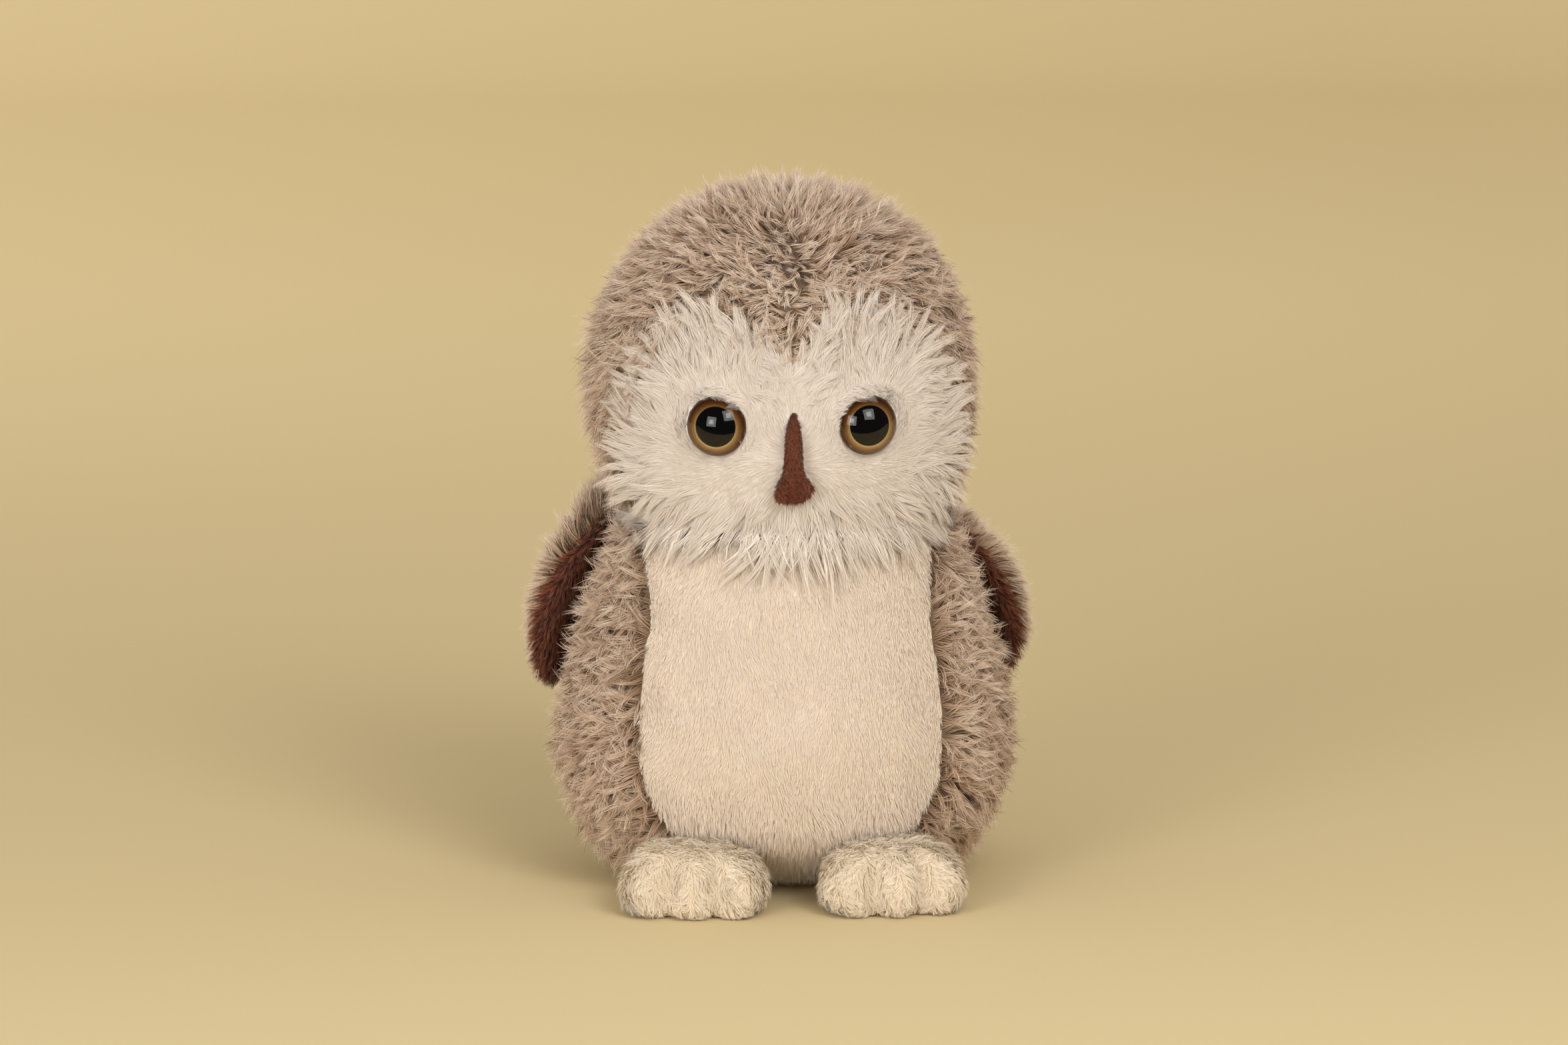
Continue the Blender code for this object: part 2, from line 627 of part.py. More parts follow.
def add_head(head_form, halves):
    """Face panel, the two panels of the crown and back, filling, eyes and beak."""
    head_pivot = add_pivot("neck_seam", Matrix.Translation((0.0, 0.0, NECK_Z)))
    head_place = Matrix.Translation((0.0, 0.0, -NECK_Z))
    under_neck = block("under_neck", (-REACH, -REACH, -REACH), (REACH, REACH, NECK_Z + SEAM_GAP / 2))
    inside = offset("head_inside", head_form, -PLUSH_THICKNESS)
    skin = carved("head_skin", head_form, [("DIFFERENCE", under_neck), ("DIFFERENCE", inside)])
    face_outline = make_face_prism()
    face_and_gap = offset("face_and_gap", face_outline, math.sqrt(2) * SEAM_GAP)
    frames = {side: eye_frame(side, head_form) for side in SIDES}
    seats = [("DIFFERENCE", make_eye_seat(side, frame)) for side, frame in frames.items()]
    rooms = [("DIFFERENCE", make_eye_room(side, frame)) for side, frame in frames.items()]

    face = carved("face_cut", skin, [("INTERSECT", face_outline), *seats])
    add_part("face_panel", face, "white_plush", head_pivot, head_place)
    for side in SIDES:
        crown_room = carved(f"crown_room_{side}", halves[side], [("DIFFERENCE", face_and_gap)])
        crown = carved(f"crown_{side}", skin, [("INTERSECT", crown_room)])
        add_part(f"head_panel_{side}", crown, "grey_brown_plush", head_pivot, head_place)
    core = offset("head_core", head_form, -PLUSH_THICKNESS - SEAM_GAP)
    filling = carved("head_filling_cut", core, [("DIFFERENCE", under_neck), *rooms])
    add_part("head_filling", filling, "polyester_fibre", head_pivot, head_place)
    for side, frame in frames.items():
        add_eye(side, frame, head_pivot, head_place)
    add_beak(head_form, head_pivot, head_place)


def add_torso(torso_form, halves):
    """Base, belly and side panels, the filling and the bag of pellets that gives the toy its weight."""
    over_neck = block("over_neck", (-REACH, -REACH, NECK_Z - SEAM_GAP / 2), (REACH, REACH, REACH))
    inside = offset("torso_inside", torso_form, -PLUSH_THICKNESS)
    skin = carved("torso_skin", torso_form, [("DIFFERENCE", over_neck), ("DIFFERENCE", inside)])
    base_room, above_base = rooms_at("base_seam", BASE_PANEL_HEIGHT)
    belly_outline = make_belly_prism()
    belly_and_gap = offset("belly_and_gap", belly_outline, math.sqrt(2) * SEAM_GAP)

    base = carved("base_cut", skin, [("INTERSECT", base_room)])
    add_part("base_panel", base, "cream_plush")
    belly_room = carved("belly_room", belly_outline, [("INTERSECT", above_base)])
    belly = carved("belly_cut", skin, [("INTERSECT", belly_room)])
    add_part("belly_panel", belly, "cream_plush")
    for side in SIDES:
        steps = [("INTERSECT", above_base), ("DIFFERENCE", belly_and_gap)]
        side_room = carved(f"side_room_{side}", halves[side], steps)
        panel = carved(f"torso_{side}", skin, [("INTERSECT", side_room)])
        add_part(f"torso_panel_{side}", panel, "grey_brown_plush")

    bag_low = PLUSH_THICKNESS - FLOOR_CUT + SEAM_GAP
    bag_rings = [(bag_low - FLOOR_CUT,)]
    for share, width in ((0.0, 0.8), (0.3, 1.0), (0.7, 0.85)):
        outline = oval(width * BAG_HALF_WIDTH, width * BAG_HALF_DEPTH, width * BAG_HALF_DEPTH)
        bag_rings.append((bag_low + share * BAG_HEIGHT, outline))
    bag_rings.append((bag_low + BAG_HEIGHT,))
    bag_box = (
        (-BAG_HALF_WIDTH, -BAG_HALF_DEPTH, bag_low - FLOOR_CUT),
        (BAG_HALF_WIDTH, BAG_HALF_DEPTH, bag_low + BAG_HEIGHT),
    )
    bag_form = soft_form("bag_form", bag_rings, even_columns(CAGE_COLUMNS), bag_box)
    under_bag = block("under_bag", (-REACH, -REACH, -REACH), (REACH, REACH, bag_low))
    bag = carved("bag_cut", bag_form, [("DIFFERENCE", under_bag)])
    add_part("pellet_bag", bag, "cotton_bag")
    core = offset("torso_core", torso_form, -PLUSH_THICKNESS - SEAM_GAP)
    bag_room = offset("bag_room", bag_form, SEAM_GAP)
    filling = carved("torso_filling_cut", core, [("DIFFERENCE", over_neck), ("DIFFERENCE", bag_room)])
    add_part("torso_filling", filling, "polyester_fibre")


def foot_columns(trim):
    """The pad's plan, counter-clockwise from +X: (x, y, pull), with three round toes in front."""
    toe = 2 * FOOT_HALF_WIDTH / 3
    half_width = FOOT_HALF_WIDTH - trim
    back = FOOT_LENGTH / 2 - trim
    front = trim - FOOT_LENGTH / 2
    rear = [(half_width, 0.12 * FOOT_LENGTH, 0.0), (0.62 * half_width, back, 0.0)]
    toes = [
        (0.27 * toe - trim / 3, front, 0.0),
        (0.50 * toe, front, TOE_GROOVE + trim / 2),
        (0.74 * toe + trim / 3, front + TOE_SETBACK / 2, 0.0),
        (1.20 * toe, front + TOE_SETBACK, 0.0),
        (half_width, front + 0.25 * FOOT_LENGTH, 0.0),
    ]
    left_to_right = [(-x, y, pull) for x, y, pull in reversed(toes)] + toes
    return rear + [(-x, y, pull) for x, y, pull in reversed(rear)] + left_to_right


def foot_outline(share, pull_share):
    """The plan drawn in towards its middle, with a share of the stitches' pull."""
    def outline(column):
        x, y, pull = column
        return share * x, share * y + pull_share * pull
    return outline


def make_foot_form(name, place, trim=0.0):
    """The whole pad, or what is left of it inside cloth of this thickness."""
    low = trim - FLOOR_CUT
    high = FOOT_HEIGHT - trim
    rings = [(low,), (low, foot_outline(0.66, 0.4))]
    for height, share, pull_share in FOOT_RINGS:
        rings.append((between(low, high, height), foot_outline(share, pull_share)))
    rings.append((between(low, high, FOOT_RINGS[-1][0]),))
    box = (
        (trim - FOOT_HALF_WIDTH, trim - FOOT_LENGTH / 2, low),
        (FOOT_HALF_WIDTH - trim, FOOT_LENGTH / 2 - trim, high),
    )
    return moved(soft_form(name, rings, foot_columns(trim), box), place)


def add_foot(side, torso_and_gap, sole_room, upper_room):
    """Upper, sole and filling of one foot, cut where the torso rests on it."""
    sign = SIDES[side]
    centre = Vector((sign * FOOT_CENTRE_X, FOOT_FRONT_Y + FOOT_LENGTH / 2, 0.0))
    place = Matrix.Translation(centre) @ Matrix.Rotation(sign * FOOT_SPLAY, 4, "Z")
    form = make_foot_form(f"foot_form_{side}", place)
    inside = make_foot_form(f"foot_inside_{side}", place, PLUSH_THICKNESS)
    core = make_foot_form(f"foot_core_{side}", place, PLUSH_THICKNESS + 2 * SEAM_GAP)
    skin = carved(f"foot_skin_{side}", form, [("DIFFERENCE", inside)])
    sole = carved(f"sole_cut_{side}", skin, [("INTERSECT", sole_room)])
    add_part(f"foot_sole_{side}", sole, "cream_plush")
    upper = carved(f"upper_cut_{side}", skin, [("INTERSECT", upper_room)])
    add_part(f"foot_upper_{side}", upper, "cream_plush")
    filling = carved(f"foot_filling_cut_{side}", core, [("DIFFERENCE", torso_and_gap)])
    add_part(f"foot_filling_{side}", filling, "polyester_fibre")


def wing_frame(side, torso_form):
    """Where a wing's seam lies: local Y runs along it to the back, and local -Z down the wing."""
    sign = SIDES[side]
    seam_z = WING_SEAM_Z[side]
    tip_z = seam_z - WING_LENGTH
    over, normal = surface(torso_form, (sign * REACH, WING_SEAM_Y, seam_z), (-sign, 0.0, 0.0))
    beside, _ = surface(torso_form, (sign * REACH, WING_SEAM_Y, tip_z), (-sign, 0.0, 0.0))
    flare = math.atan2(abs(beside.x) - abs(over.x), WING_LENGTH) + WING_LIFT
    centre = over + normal * (WING_ROOT_RADIUS + SEAM_GAP - WING_ROOT_SINK[side])
    turn = Matrix.Rotation(sign * WING_YAW, 4, "Z") @ Matrix.Rotation(WING_SWEEP[side], 4, "X")
    return Matrix.Translation(centre) @ turn @ Matrix.Rotation(-sign * flare, 4, "Y")


def wing_bow(z):
    """How far the wing's middle line lies outward at a height."""
    share = -z / WING_LENGTH
    return 4 * WING_CAMBER * share * (1 - share)


def wing_ring(z, sign, edge_trim, face_trim):
    """The wing's section at a height: a leaf that is widest half-way down, thin at its edges."""
    share = -z / WING_LENGTH
    if share > WING_WIDEST:
        fall = (share - WING_WIDEST) / (1 - WING_WIDEST)
        half_width = WING_HALF_WIDTH * (1 - fall ** 2) ** 0.7
        half_thickness = WING_HALF_THICKNESS * (1 - 0.5 * fall ** 2)
    else:
        rise = (1 - share / WING_WIDEST) ** 2
        half_width = between(WING_HALF_WIDTH, WING_ROOT_HALF_WIDTH, rise)
        half_thickness = between(WING_HALF_THICKNESS, WING_ROOT_RADIUS, rise)
    width = half_width - edge_trim
    swell = 6 / (4 + 2 * math.cos(2 * math.pi / WING_COLUMNS))
    return z, oval(swell * (half_thickness - face_trim), width, width, (sign * wing_bow(z), 0.0))


def make_wing_form(name, sign, tip_trim, root_trim, edge_trim, face_trim):
    """A leaf-shaped pad, trimmed at its tip, root, edges and faces."""
    tip = -WING_LENGTH + tip_trim
    root = -root_trim
    top = WING_ROOT_RADIUS if root_trim == 0 else root
    heights = [between(root, tip, share) for share in (0.96, 0.78, WING_WIDEST, 0.2)]
    rings = [(tip,), *(wing_ring(z, sign, edge_trim, face_trim) for z in heights)]
    if root_trim == 0:
        rings.append(wing_ring(root, sign, edge_trim, face_trim))
    rings.append((top,))
    half_width = WING_HALF_WIDTH - edge_trim
    box = ((None, -half_width, tip), (None, half_width, top))
    return soft_form(name, rings, even_columns(WING_COLUMNS), box)


def add_wing(side, pivot):
    """Outer panel, lining and wadding of one wing, in the frame of its seam."""
    sign = SIDES[side]
    hem = 2 * WING_CLOTH_THICKNESS
    form = make_wing_form(f"wing_form_{side}", sign, 0.0, 0.0, 0.0, 0.0)
    inside = make_wing_form(f"wing_inside_{side}", sign, 2 * hem, hem, hem, WING_CLOTH_THICKNESS)
    wadding = make_wing_form(
        f"wing_core_{side}",
        sign,
        2 * (hem + SEAM_GAP),
        hem + SEAM_GAP,
        hem + SEAM_GAP,
        WING_CLOTH_THICKNESS + SEAM_GAP,
    )
    steps = 12
    heights = [between(WING_LENGTH / 4, -5 * WING_LENGTH / 4, step / steps) for step in range(steps + 1)]
    for face, facing, finish in (("outer", 1, "grey_brown_plush"), ("lining", -1, "brown_velboa")):
        seam = [(sign * (wing_bow(z) + facing * SEAM_GAP / 2), z) for z in heights]
        far = sign * facing * REACH
        outline = [*seam, (far, seam[-1][1]), (far, seam[0][1])]
        half = prism(f"wing_{face}_half_{side}", outline, REACH, -REACH, smooth=False)
        cloth = carved(f"wing_{face}_cut_{side}", form, [("DIFFERENCE", inside), ("INTERSECT", half)])
        add_part(f"wing_{face}_{side}", cloth, finish, pivot)
    add_part(f"wing_wadding_{side}", wadding, "polyester_fibre", pivot)


def build_owl():
    """The forms first, then the pieces that are cut from them."""
    torso_form = make_torso_form()
    head_form = make_head_form()
    halves = make_halves()
    wing_frames = {side: wing_frame(side, torso_form) for side in SIDES}
    add_torso(torso_form, halves)
    add_head(head_form, halves)
    torso_and_gap = offset("torso_and_gap", torso_form, SEAM_GAP)
    foot_rooms = [
        carved(f"{room.name}_by_torso", room, [("DIFFERENCE", torso_and_gap)])
        for room in rooms_at("sole_seam", SOLE_HEIGHT)
    ]
    for side in SIDES:
        add_foot(side, torso_and_gap, *foot_rooms)
        pivot = add_pivot(f"wing_seam_{side}", wing_frames[side])
        add_wing(side, pivot)


build_owl()
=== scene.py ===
# %% [markdown]
# # A plush owl in long and short pile
# The real toy is sewn from panels of plush: long grey-brown pile on the head, back and wings, long
# white pile on the face, short cream pile on the belly and feet, and brown velboa for the beak and
# the wing linings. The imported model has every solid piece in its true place. This lesson dresses
# it: stuffed covers first, then the pile that grows on them, then the eyes and the small details.

import json
import math

import bmesh
import bpy
import numpy as np
from mathutils import Matrix, Vector
from mathutils.bvhtree import BVHTree


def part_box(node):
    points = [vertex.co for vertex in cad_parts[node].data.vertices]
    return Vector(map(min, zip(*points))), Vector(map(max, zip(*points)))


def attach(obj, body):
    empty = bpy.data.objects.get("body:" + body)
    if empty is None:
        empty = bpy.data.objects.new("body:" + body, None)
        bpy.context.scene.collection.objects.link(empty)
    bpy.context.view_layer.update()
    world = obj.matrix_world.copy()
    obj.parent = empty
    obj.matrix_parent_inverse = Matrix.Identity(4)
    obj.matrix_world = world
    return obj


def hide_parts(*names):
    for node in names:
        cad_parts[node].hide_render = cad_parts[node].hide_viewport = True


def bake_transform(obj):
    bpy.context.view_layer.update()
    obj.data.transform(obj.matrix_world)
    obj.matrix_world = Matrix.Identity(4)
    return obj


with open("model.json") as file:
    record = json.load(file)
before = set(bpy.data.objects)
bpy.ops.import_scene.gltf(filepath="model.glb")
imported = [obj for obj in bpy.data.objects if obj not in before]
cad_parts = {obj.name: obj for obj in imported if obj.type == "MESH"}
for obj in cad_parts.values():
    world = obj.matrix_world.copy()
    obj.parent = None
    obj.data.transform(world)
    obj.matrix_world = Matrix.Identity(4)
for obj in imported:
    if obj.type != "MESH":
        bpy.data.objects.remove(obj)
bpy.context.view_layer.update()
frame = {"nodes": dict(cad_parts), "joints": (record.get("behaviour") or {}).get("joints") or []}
NODES = frame["nodes"]
MM = 0.001
SIDES = (("left", 1.0), ("right", -1.0))       # the owl's own sides, and the sign of x there

# %% [markdown]
# ## Colours and nodes
# Cloth colours are easiest to name as they look on a screen, so they are written as sRGB hex and
# one function turns them to the linear values that shaders need. One more function adds a node
# with its settings and links, so that each material below reads as a short recipe.

# %% Helpers for colours, nodes and objects
def linear(code):
    """An sRGB hex colour as linear red, green, blue and alpha."""
    channels = [int(code[place:place + 2], 16) / 255 for place in (1, 3, 5)]
    return (*(c / 12.92 if c <= 0.04045 else ((c + 0.055) / 1.055) ** 2.4 for c in channels), 1.0)


def add_node(tree, kind, inputs=None, **settings):
    """One node with its settings. An input is a value, or the output that it is linked to."""
    node = tree.nodes.new(kind)
    for name, value in settings.items():
        setattr(node, name, value)
    for name, value in (inputs or {}).items():
        if isinstance(value, bpy.types.NodeSocket):
            tree.links.new(value, node.inputs[name])
        else:
            node.inputs[name].default_value = value
    return node


def multiplied(tree, one, other):
    """The product of two colour outputs."""
    inputs = {0: 1.0, 6: one, 7: other}
    return add_node(tree, "ShaderNodeMix", inputs, data_type="RGBA", blend_type="MULTIPLY").outputs[2]


def new_object(name, data):
    """An object with this data, in the scene."""
    made = bpy.data.objects.new(name, data)
    bpy.context.scene.collection.objects.link(made)
    return made


def new_material(name, roughness, **sockets):
    """A Principled material, its node tree and its shader."""
    material = bpy.data.materials.new(name)
    material.use_nodes = True
    shader = material.node_tree.nodes["Principled BSDF"]
    shader.inputs["Roughness"].default_value = roughness
    for socket, value in sockets.items():
        shader.inputs[socket.replace("_", " ")].default_value = value
    return material, material.node_tree, shader


def set_stops(ramp, stops):
    """Gives a colour ramp these (position, sRGB hex) stops."""
    elements = ramp.color_ramp.elements
    while len(elements) < len(stops):
        elements.new(1.0)
    for element, (position, code) in zip(elements, stops):
        element.position = position
        element.color = linear(code)


# %% [markdown]
# ## The studio
# The photograph was taken from a little above the toy's middle and a little to its right, with a
# long lens, on a seamless paper sweep. Two soft boxes stand in front, one on each side: they are
# the two bright windows in each eye. A weak even world fills the shadows.

# %% Camera
PIXELS_PER_M = 4430.0          # at the toy's axis
FRAME_WIDTH = 2352             # pixels
SENSOR_WIDTH = 36.0            # millimetres
DISTANCE = 2.4
AZIMUTH = math.radians(-3)
ELEVATION = math.radians(10)
AIM = Vector((0.0, 0.0, 0.1212))


def direction(azimuth, elevation):
    """From the toy towards this elevation and this azimuth, to the viewer's right of its front."""
    level = math.cos(elevation)
    return Vector((math.sin(azimuth) * level, -math.cos(azimuth) * level, math.sin(elevation)))


camera = new_object("camera", bpy.data.cameras.new("camera"))
bpy.context.scene.camera = camera
back = direction(AZIMUTH, ELEVATION)
camera.location = AIM + back * DISTANCE
camera.rotation_mode = "QUATERNION"
camera.rotation_quaternion = (-back).to_track_quat("-Z", "Y")
camera.data.sensor_width = SENSOR_WIDTH
camera.data.lens = SENSOR_WIDTH * PIXELS_PER_M * DISTANCE / FRAME_WIDTH
camera.data.clip_start = 0.05
print("lens", round(camera.data.lens, 1), "mm at", DISTANCE, "m")

# %% Sweep, world and soft boxes
SWEEP_FRONT = -0.36            # metres: the table's edge, which the eyes mirror
SWEEP_BEND = 2.3
SWEEP_BACK = 2.8               # far enough back for a camera between it and the toy
SWEEP_HALF_WIDTH = 3.0
SWEEP_TOP = 2.2
sweep_mesh = bpy.data.meshes.new("paper_sweep")
bend_radius = SWEEP_BACK - SWEEP_BEND
profile = [(SWEEP_FRONT, 0.0), (SWEEP_BEND, 0.0)]
profile += [
    (SWEEP_BEND + bend_radius * math.sin(turn), bend_radius * (1 - math.cos(turn)))
    for turn in (math.pi / 2 * step / 16 for step in range(1, 17))
]
profile.append((SWEEP_BACK, SWEEP_TOP))
rows = [[(side * SWEEP_HALF_WIDTH, y, z) for y, z in profile] for side in (-1, 1)]
count = len(profile)
sweep_mesh.from_pydata(
    rows[0] + rows[1], [], [(i, i + 1, count + i + 1, count + i) for i in range(count - 1)]
)
sweep_mesh.shade_smooth()
sweep = new_object("paper_sweep", sweep_mesh)
PAPER_COLOUR = linear("#dfca9a")
paper, paper_tree, paper_shader = new_material(
    "matte_paper", 0.95, Base_Color=PAPER_COLOUR, Emission_Color=PAPER_COLOUR
)
# The far end of the sheet is out of the lamps' reach, so it glows with painted light, more with
# distance and towards the viewer's left, for the camera, mirrors and clear plastic alone.
place = add_node(paper_tree, "ShaderNodeNewGeometry")
parts = add_node(paper_tree, "ShaderNodeSeparateXYZ", {"Vector": place.outputs["Position"]})
far = add_node(
    paper_tree, "ShaderNodeMapRange",
    {"Value": parts.outputs["Y"], "From Min": 0.0, "From Max": 1.5}, interpolation_type="SMOOTHSTEP",
)
aside = add_node(
    paper_tree, "ShaderNodeMapRange",
    {"Value": parts.outputs["X"], "From Min": -0.5, "From Max": 0.5, "To Min": 0.36, "To Max": 0.22},
)


def combined(operation, one, other):
    """The result of a Math node between two of the paper's outputs."""
    return add_node(paper_tree, "ShaderNodeMath", {0: one, 1: other}, operation=operation).outputs[0]


rays = add_node(paper_tree, "ShaderNodeLightPath")
seen = rays.outputs["Is Camera Ray"]
for kind in ("Is Glossy Ray", "Is Transmission Ray"):
    seen = combined("MAXIMUM", seen, rays.outputs[kind])
# The painted glow: strength from distance back and from the viewer's left, for these rays alone.
lift = combined("MULTIPLY", far.outputs["Result"], aside.outputs["Result"])
lift = combined("MULTIPLY", lift, seen)
paper_tree.links.new(lift, paper_shader.inputs["Emission Strength"])
sweep_mesh.materials.append(paper)

world = bpy.data.worlds.new("studio")
world.use_nodes = True
sky = world.node_tree.nodes["Background"]
sky.inputs["Color"].default_value = linear("#fffaf2")
rays = add_node(world.node_tree, "ShaderNodeLightPath")
dim = add_node(
    world.node_tree, "ShaderNodeMapRange",
    {"Value": rays.outputs["Is Glossy Ray"], "To Min": 0.54, "To Max": 0.1},
)
world.node_tree.links.new(dim.outputs["Result"], sky.inputs["Strength"])
bpy.context.scene.world = world
bpy.context.scene.view_settings.view_transform = "Standard"


def add_softbox(name, azimuth, elevation, distance, size, power):
    """A square soft box that faces the toy. Azimuth is to the viewer's right of the camera."""
    out = direction(AZIMUTH + math.radians(azimuth), math.radians(elevation))
    light = bpy.data.lights.new(name, "AREA")
    light.energy = power
    light.size = size
    lamp = new_object(name, light)
    lamp.location = AIM + out * distance
    lamp.rotation_mode = "QUATERNION"
    lamp.rotation_quaternion = out.to_track_quat("Z", "Y")


add_softbox("softbox_left", -32, 14, 1.7, 0.9, 9.0)
add_softbox("softbox_left_core", -32, 14, 1.69, 0.4, 3.0)
add_softbox("softbox_right", 27, 34, 1.7, 1.0, 9.8)
add_softbox("softbox_right_core", 27, 34, 1.69, 0.45, 3.5)

# %% [markdown]
# ## Stuffed covers
# A plush panel has no shape of its own: the filling blows it up until the seams stop it. So each
# cover starts as the imported solid's own skin and gets an even mesh. On the torso, head and feet a
# short cloth simulation with air pressure swells it while the seams, the flange of each eye and the
# flat base are held. The swell is capped at a few millimetres, so the covers stay where the solids are.

# %% Joining and remeshing the imported solids
def coordinates(mesh):
    """The mesh's points as an array."""
    points = np.empty(len(mesh.vertices) * 3)
    mesh.vertices.foreach_get("co", points)
    return points.reshape(-1, 3)


def cover_from(name, nodes, voxel, hull):
    """One even, closed mesh round these nodes. hull wraps them tight, for a form with no hollow."""
    joined = bmesh.new()
    for node in nodes:
        joined.from_mesh(NODES[node].data)
    if hull:
        bare = bmesh.new()
        for vertex in joined.verts:
            bare.verts.new(vertex.co)
        joined.free()
        joined = bare
        bmesh.ops.convex_hull(joined, input=joined.verts)
        inner = [vertex for vertex in joined.verts if not vertex.link_faces]
        bmesh.ops.delete(joined, geom=inner, context="VERTS")
    mesh = bpy.data.meshes.new(name)
    joined.to_mesh(mesh)
    joined.free()
    cover = new_object(name, mesh)
    remesh = cover.modifiers.new("Even", "REMESH")
    remesh.mode = "VOXEL"
    remesh.voxel_size = voxel
    settle(cover)
    print(name, len(cover.data.vertices), "points")
    return cover


def settle(piece):
    """Applies the piece's modifiers to its mesh."""
    bpy.context.view_layer.update()
    evaluated = piece.evaluated_get(bpy.context.evaluated_depsgraph_get())
    mesh = bpy.data.meshes.new_from_object(evaluated)
    piece.modifiers.clear()
    old = piece.data
    piece.data = mesh
    bpy.data.meshes.remove(old)


# %% Which panel a point lies on, and how far it is from others
def panel_tree(nodes):
    """A search tree over the faces of these nodes, and the node that each face belongs to."""
    points = []
    faces = []
    owners = []
    for index, node in enumerate(nodes):
        mesh = NODES[node].data
        start = len(points)
        points += [vertex.co.copy() for vertex in mesh.vertices]
        faces += [tuple(start + corner for corner in face.vertices) for face in mesh.polygons]
        owners += [index] * len(mesh.polygons)
    return BVHTree.FromPolygons(points, faces), owners


def owners_of(points, nodes):
    """For each point, the index of the node whose surface is nearest."""
    tree, owners = panel_tree(nodes)
    return np.array([owners[tree.find_nearest(Vector(point))[2]] for point in points])


def distance_to(points, nodes):
    """For each point, how far the nearest of these nodes is."""
    tree, _ = panel_tree(nodes)
    return np.array([tree.find_nearest(Vector(point))[3] for point in points])


# %% The stuffing simulation
PRESSURE = 60.0                # a small toy is stuffed hard
POINT_MASS = 0.002             # kilograms for each point of such fine cloth
FRAMES = 20


def stuff(cover, held, swell):
    """Swells the cover under pressure, with these points held and each move capped at swell."""
    start = coordinates(cover.data)
    moved = start.copy()
    group = cover.vertex_groups.new(name="held")
    group.add([int(index) for index in np.flatnonzero(held)], 1.0, "REPLACE")
    cloth = cover.modifiers.new("Stuffing", "CLOTH")
    cloth.settings.use_pressure = True
    cloth.settings.uniform_pressure_force = PRESSURE
    cloth.settings.mass = POINT_MASS
    cloth.settings.effector_weights.gravity = 0.0
    cloth.settings.vertex_group_mass = "held"
    cloth.collision_settings.use_self_collision = False
    cloth.point_cache.frame_end = FRAMES
    for number in range(1, FRAMES + 1):
        bpy.context.scene.frame_set(number)
    evaluated = cover.evaluated_get(bpy.context.evaluated_depsgraph_get())
    moved = coordinates(evaluated.data)
    cover.modifiers.clear()
    cover.vertex_groups.clear()
    bpy.context.scene.frame_set(1)
    step = moved - start
    size = np.linalg.norm(step, axis=1, keepdims=True)
    step *= np.minimum(1.0, swell / np.maximum(size, 1e-9))
    step[held] = 0.0
    cover.data.vertices.foreach_set("co", (start + step).ravel())
    cover.data.update()
    print(cover.name, "swelled", round(float(np.abs(step).max()) / MM, 2), "mm")


def finish_cover(cover, floor=None):
    """Smooths the cover with one subdivision, and keeps it off the floor."""
    smooth = cover.modifiers.new("Smooth", "SUBSURF")
    smooth.levels = 1
    smooth.render_levels = 1
    settle(cover)
    if floor is not None:
        points = coordinates(cover.data)
        points[:, 2] = np.maximum(points[:, 2], floor)
        cover.data.vertices.foreach_set("co", points.ravel())
    cover.data.shade_smooth()
    cover.data.update()


# %% Smooth random values, for the soft unevenness of stuffed cloth
def unit(vectors):
    """The vectors at length 1."""
    return vectors / np.maximum(np.linalg.norm(vectors, axis=-1, keepdims=True), 1e-12)


def share(value):
    """The value kept between 0 and 1."""
    return np.clip(value, 0.0, 1.0)


def side_of(points):
    """The sign of x at each point: 1 on the owl's left, -1 on its right."""
    return np.where(points[:, 0] >= 0, 1.0, -1.0)


def drift(points, size, rng, waves=7):
    """Smooth random values between about -1 and 1, which change over this distance."""
    total = np.zeros(len(points))
    for _ in range(waves):
        direction = unit(rng.normal(size=3)) * (2 * np.pi / size) * (0.6 + 0.8 * rng.random())
        total += np.sin(points @ direction + 2 * np.pi * rng.random())
    return total / math.sqrt(waves)


# %% Torso and head covers
TORSO_PANELS = ["torso_panel_left", "torso_panel_right", "belly_panel", "base_panel"]
HEAD_PANELS = ["head_panel_left", "head_panel_right", "face_panel"]
NECK_Z = frame["joints"][0]["pos_m"][2]
EYES = {
    side: sum(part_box(f"eye_lens_{side}"), Vector()) / 2 for side, _ in SIDES
}


def seams_of(points, nodes, reach):
    """Marks the points that lie within reach of two different panels."""
    near = np.stack([distance_to(points, [node]) for node in nodes])
    near.sort(axis=0)
    return near[1] < reach


SEAM_REACH = 2.4 * MM
BODY_VOXEL = 4 * MM
MOST_SWELL = 2.5 * MM
torso_cover = cover_from("torso_cover", TORSO_PANELS, BODY_VOXEL, hull=True)
points = coordinates(torso_cover.data)
held = seams_of(points, TORSO_PANELS, SEAM_REACH) | (points[:, 2] < 9 * MM)
held |= points[:, 2] > NECK_Z - 3 * MM
stuff(torso_cover, held, MOST_SWELL)
# The tongue of the belly clears the floor in front, and the belly is a little uneven.
points = coordinates(torso_cover.data)
forward = share((-12 * MM - points[:, 1]) / (34 * MM))
lifted = 15 * MM * forward ** 2 * (3 - 2 * forward)
low = share(1 - points[:, 2] / (30 * MM))
points[:, 2] += lifted * low
uneven = 0.5 * MM * drift(points, 24 * MM, np.random.default_rng(5))
points[:, 1] += uneven * share(-points[:, 1] / (30 * MM))
torso_cover.data.vertices.foreach_set("co", points.ravel())
finish_cover(torso_cover, floor=0.3 * MM)

head_cover = cover_from("head_cover", HEAD_PANELS, BODY_VOXEL, hull=True)
points = coordinates(head_cover.data)
held = seams_of(points, HEAD_PANELS, SEAM_REACH) | (points[:, 2] < NECK_Z + 3 * MM)
for place in EYES.values():
    held |= np.linalg.norm(points - np.array(place), axis=1) < 15 * MM
stuff(head_cover, held, MOST_SWELL)
finish_cover(head_cover)

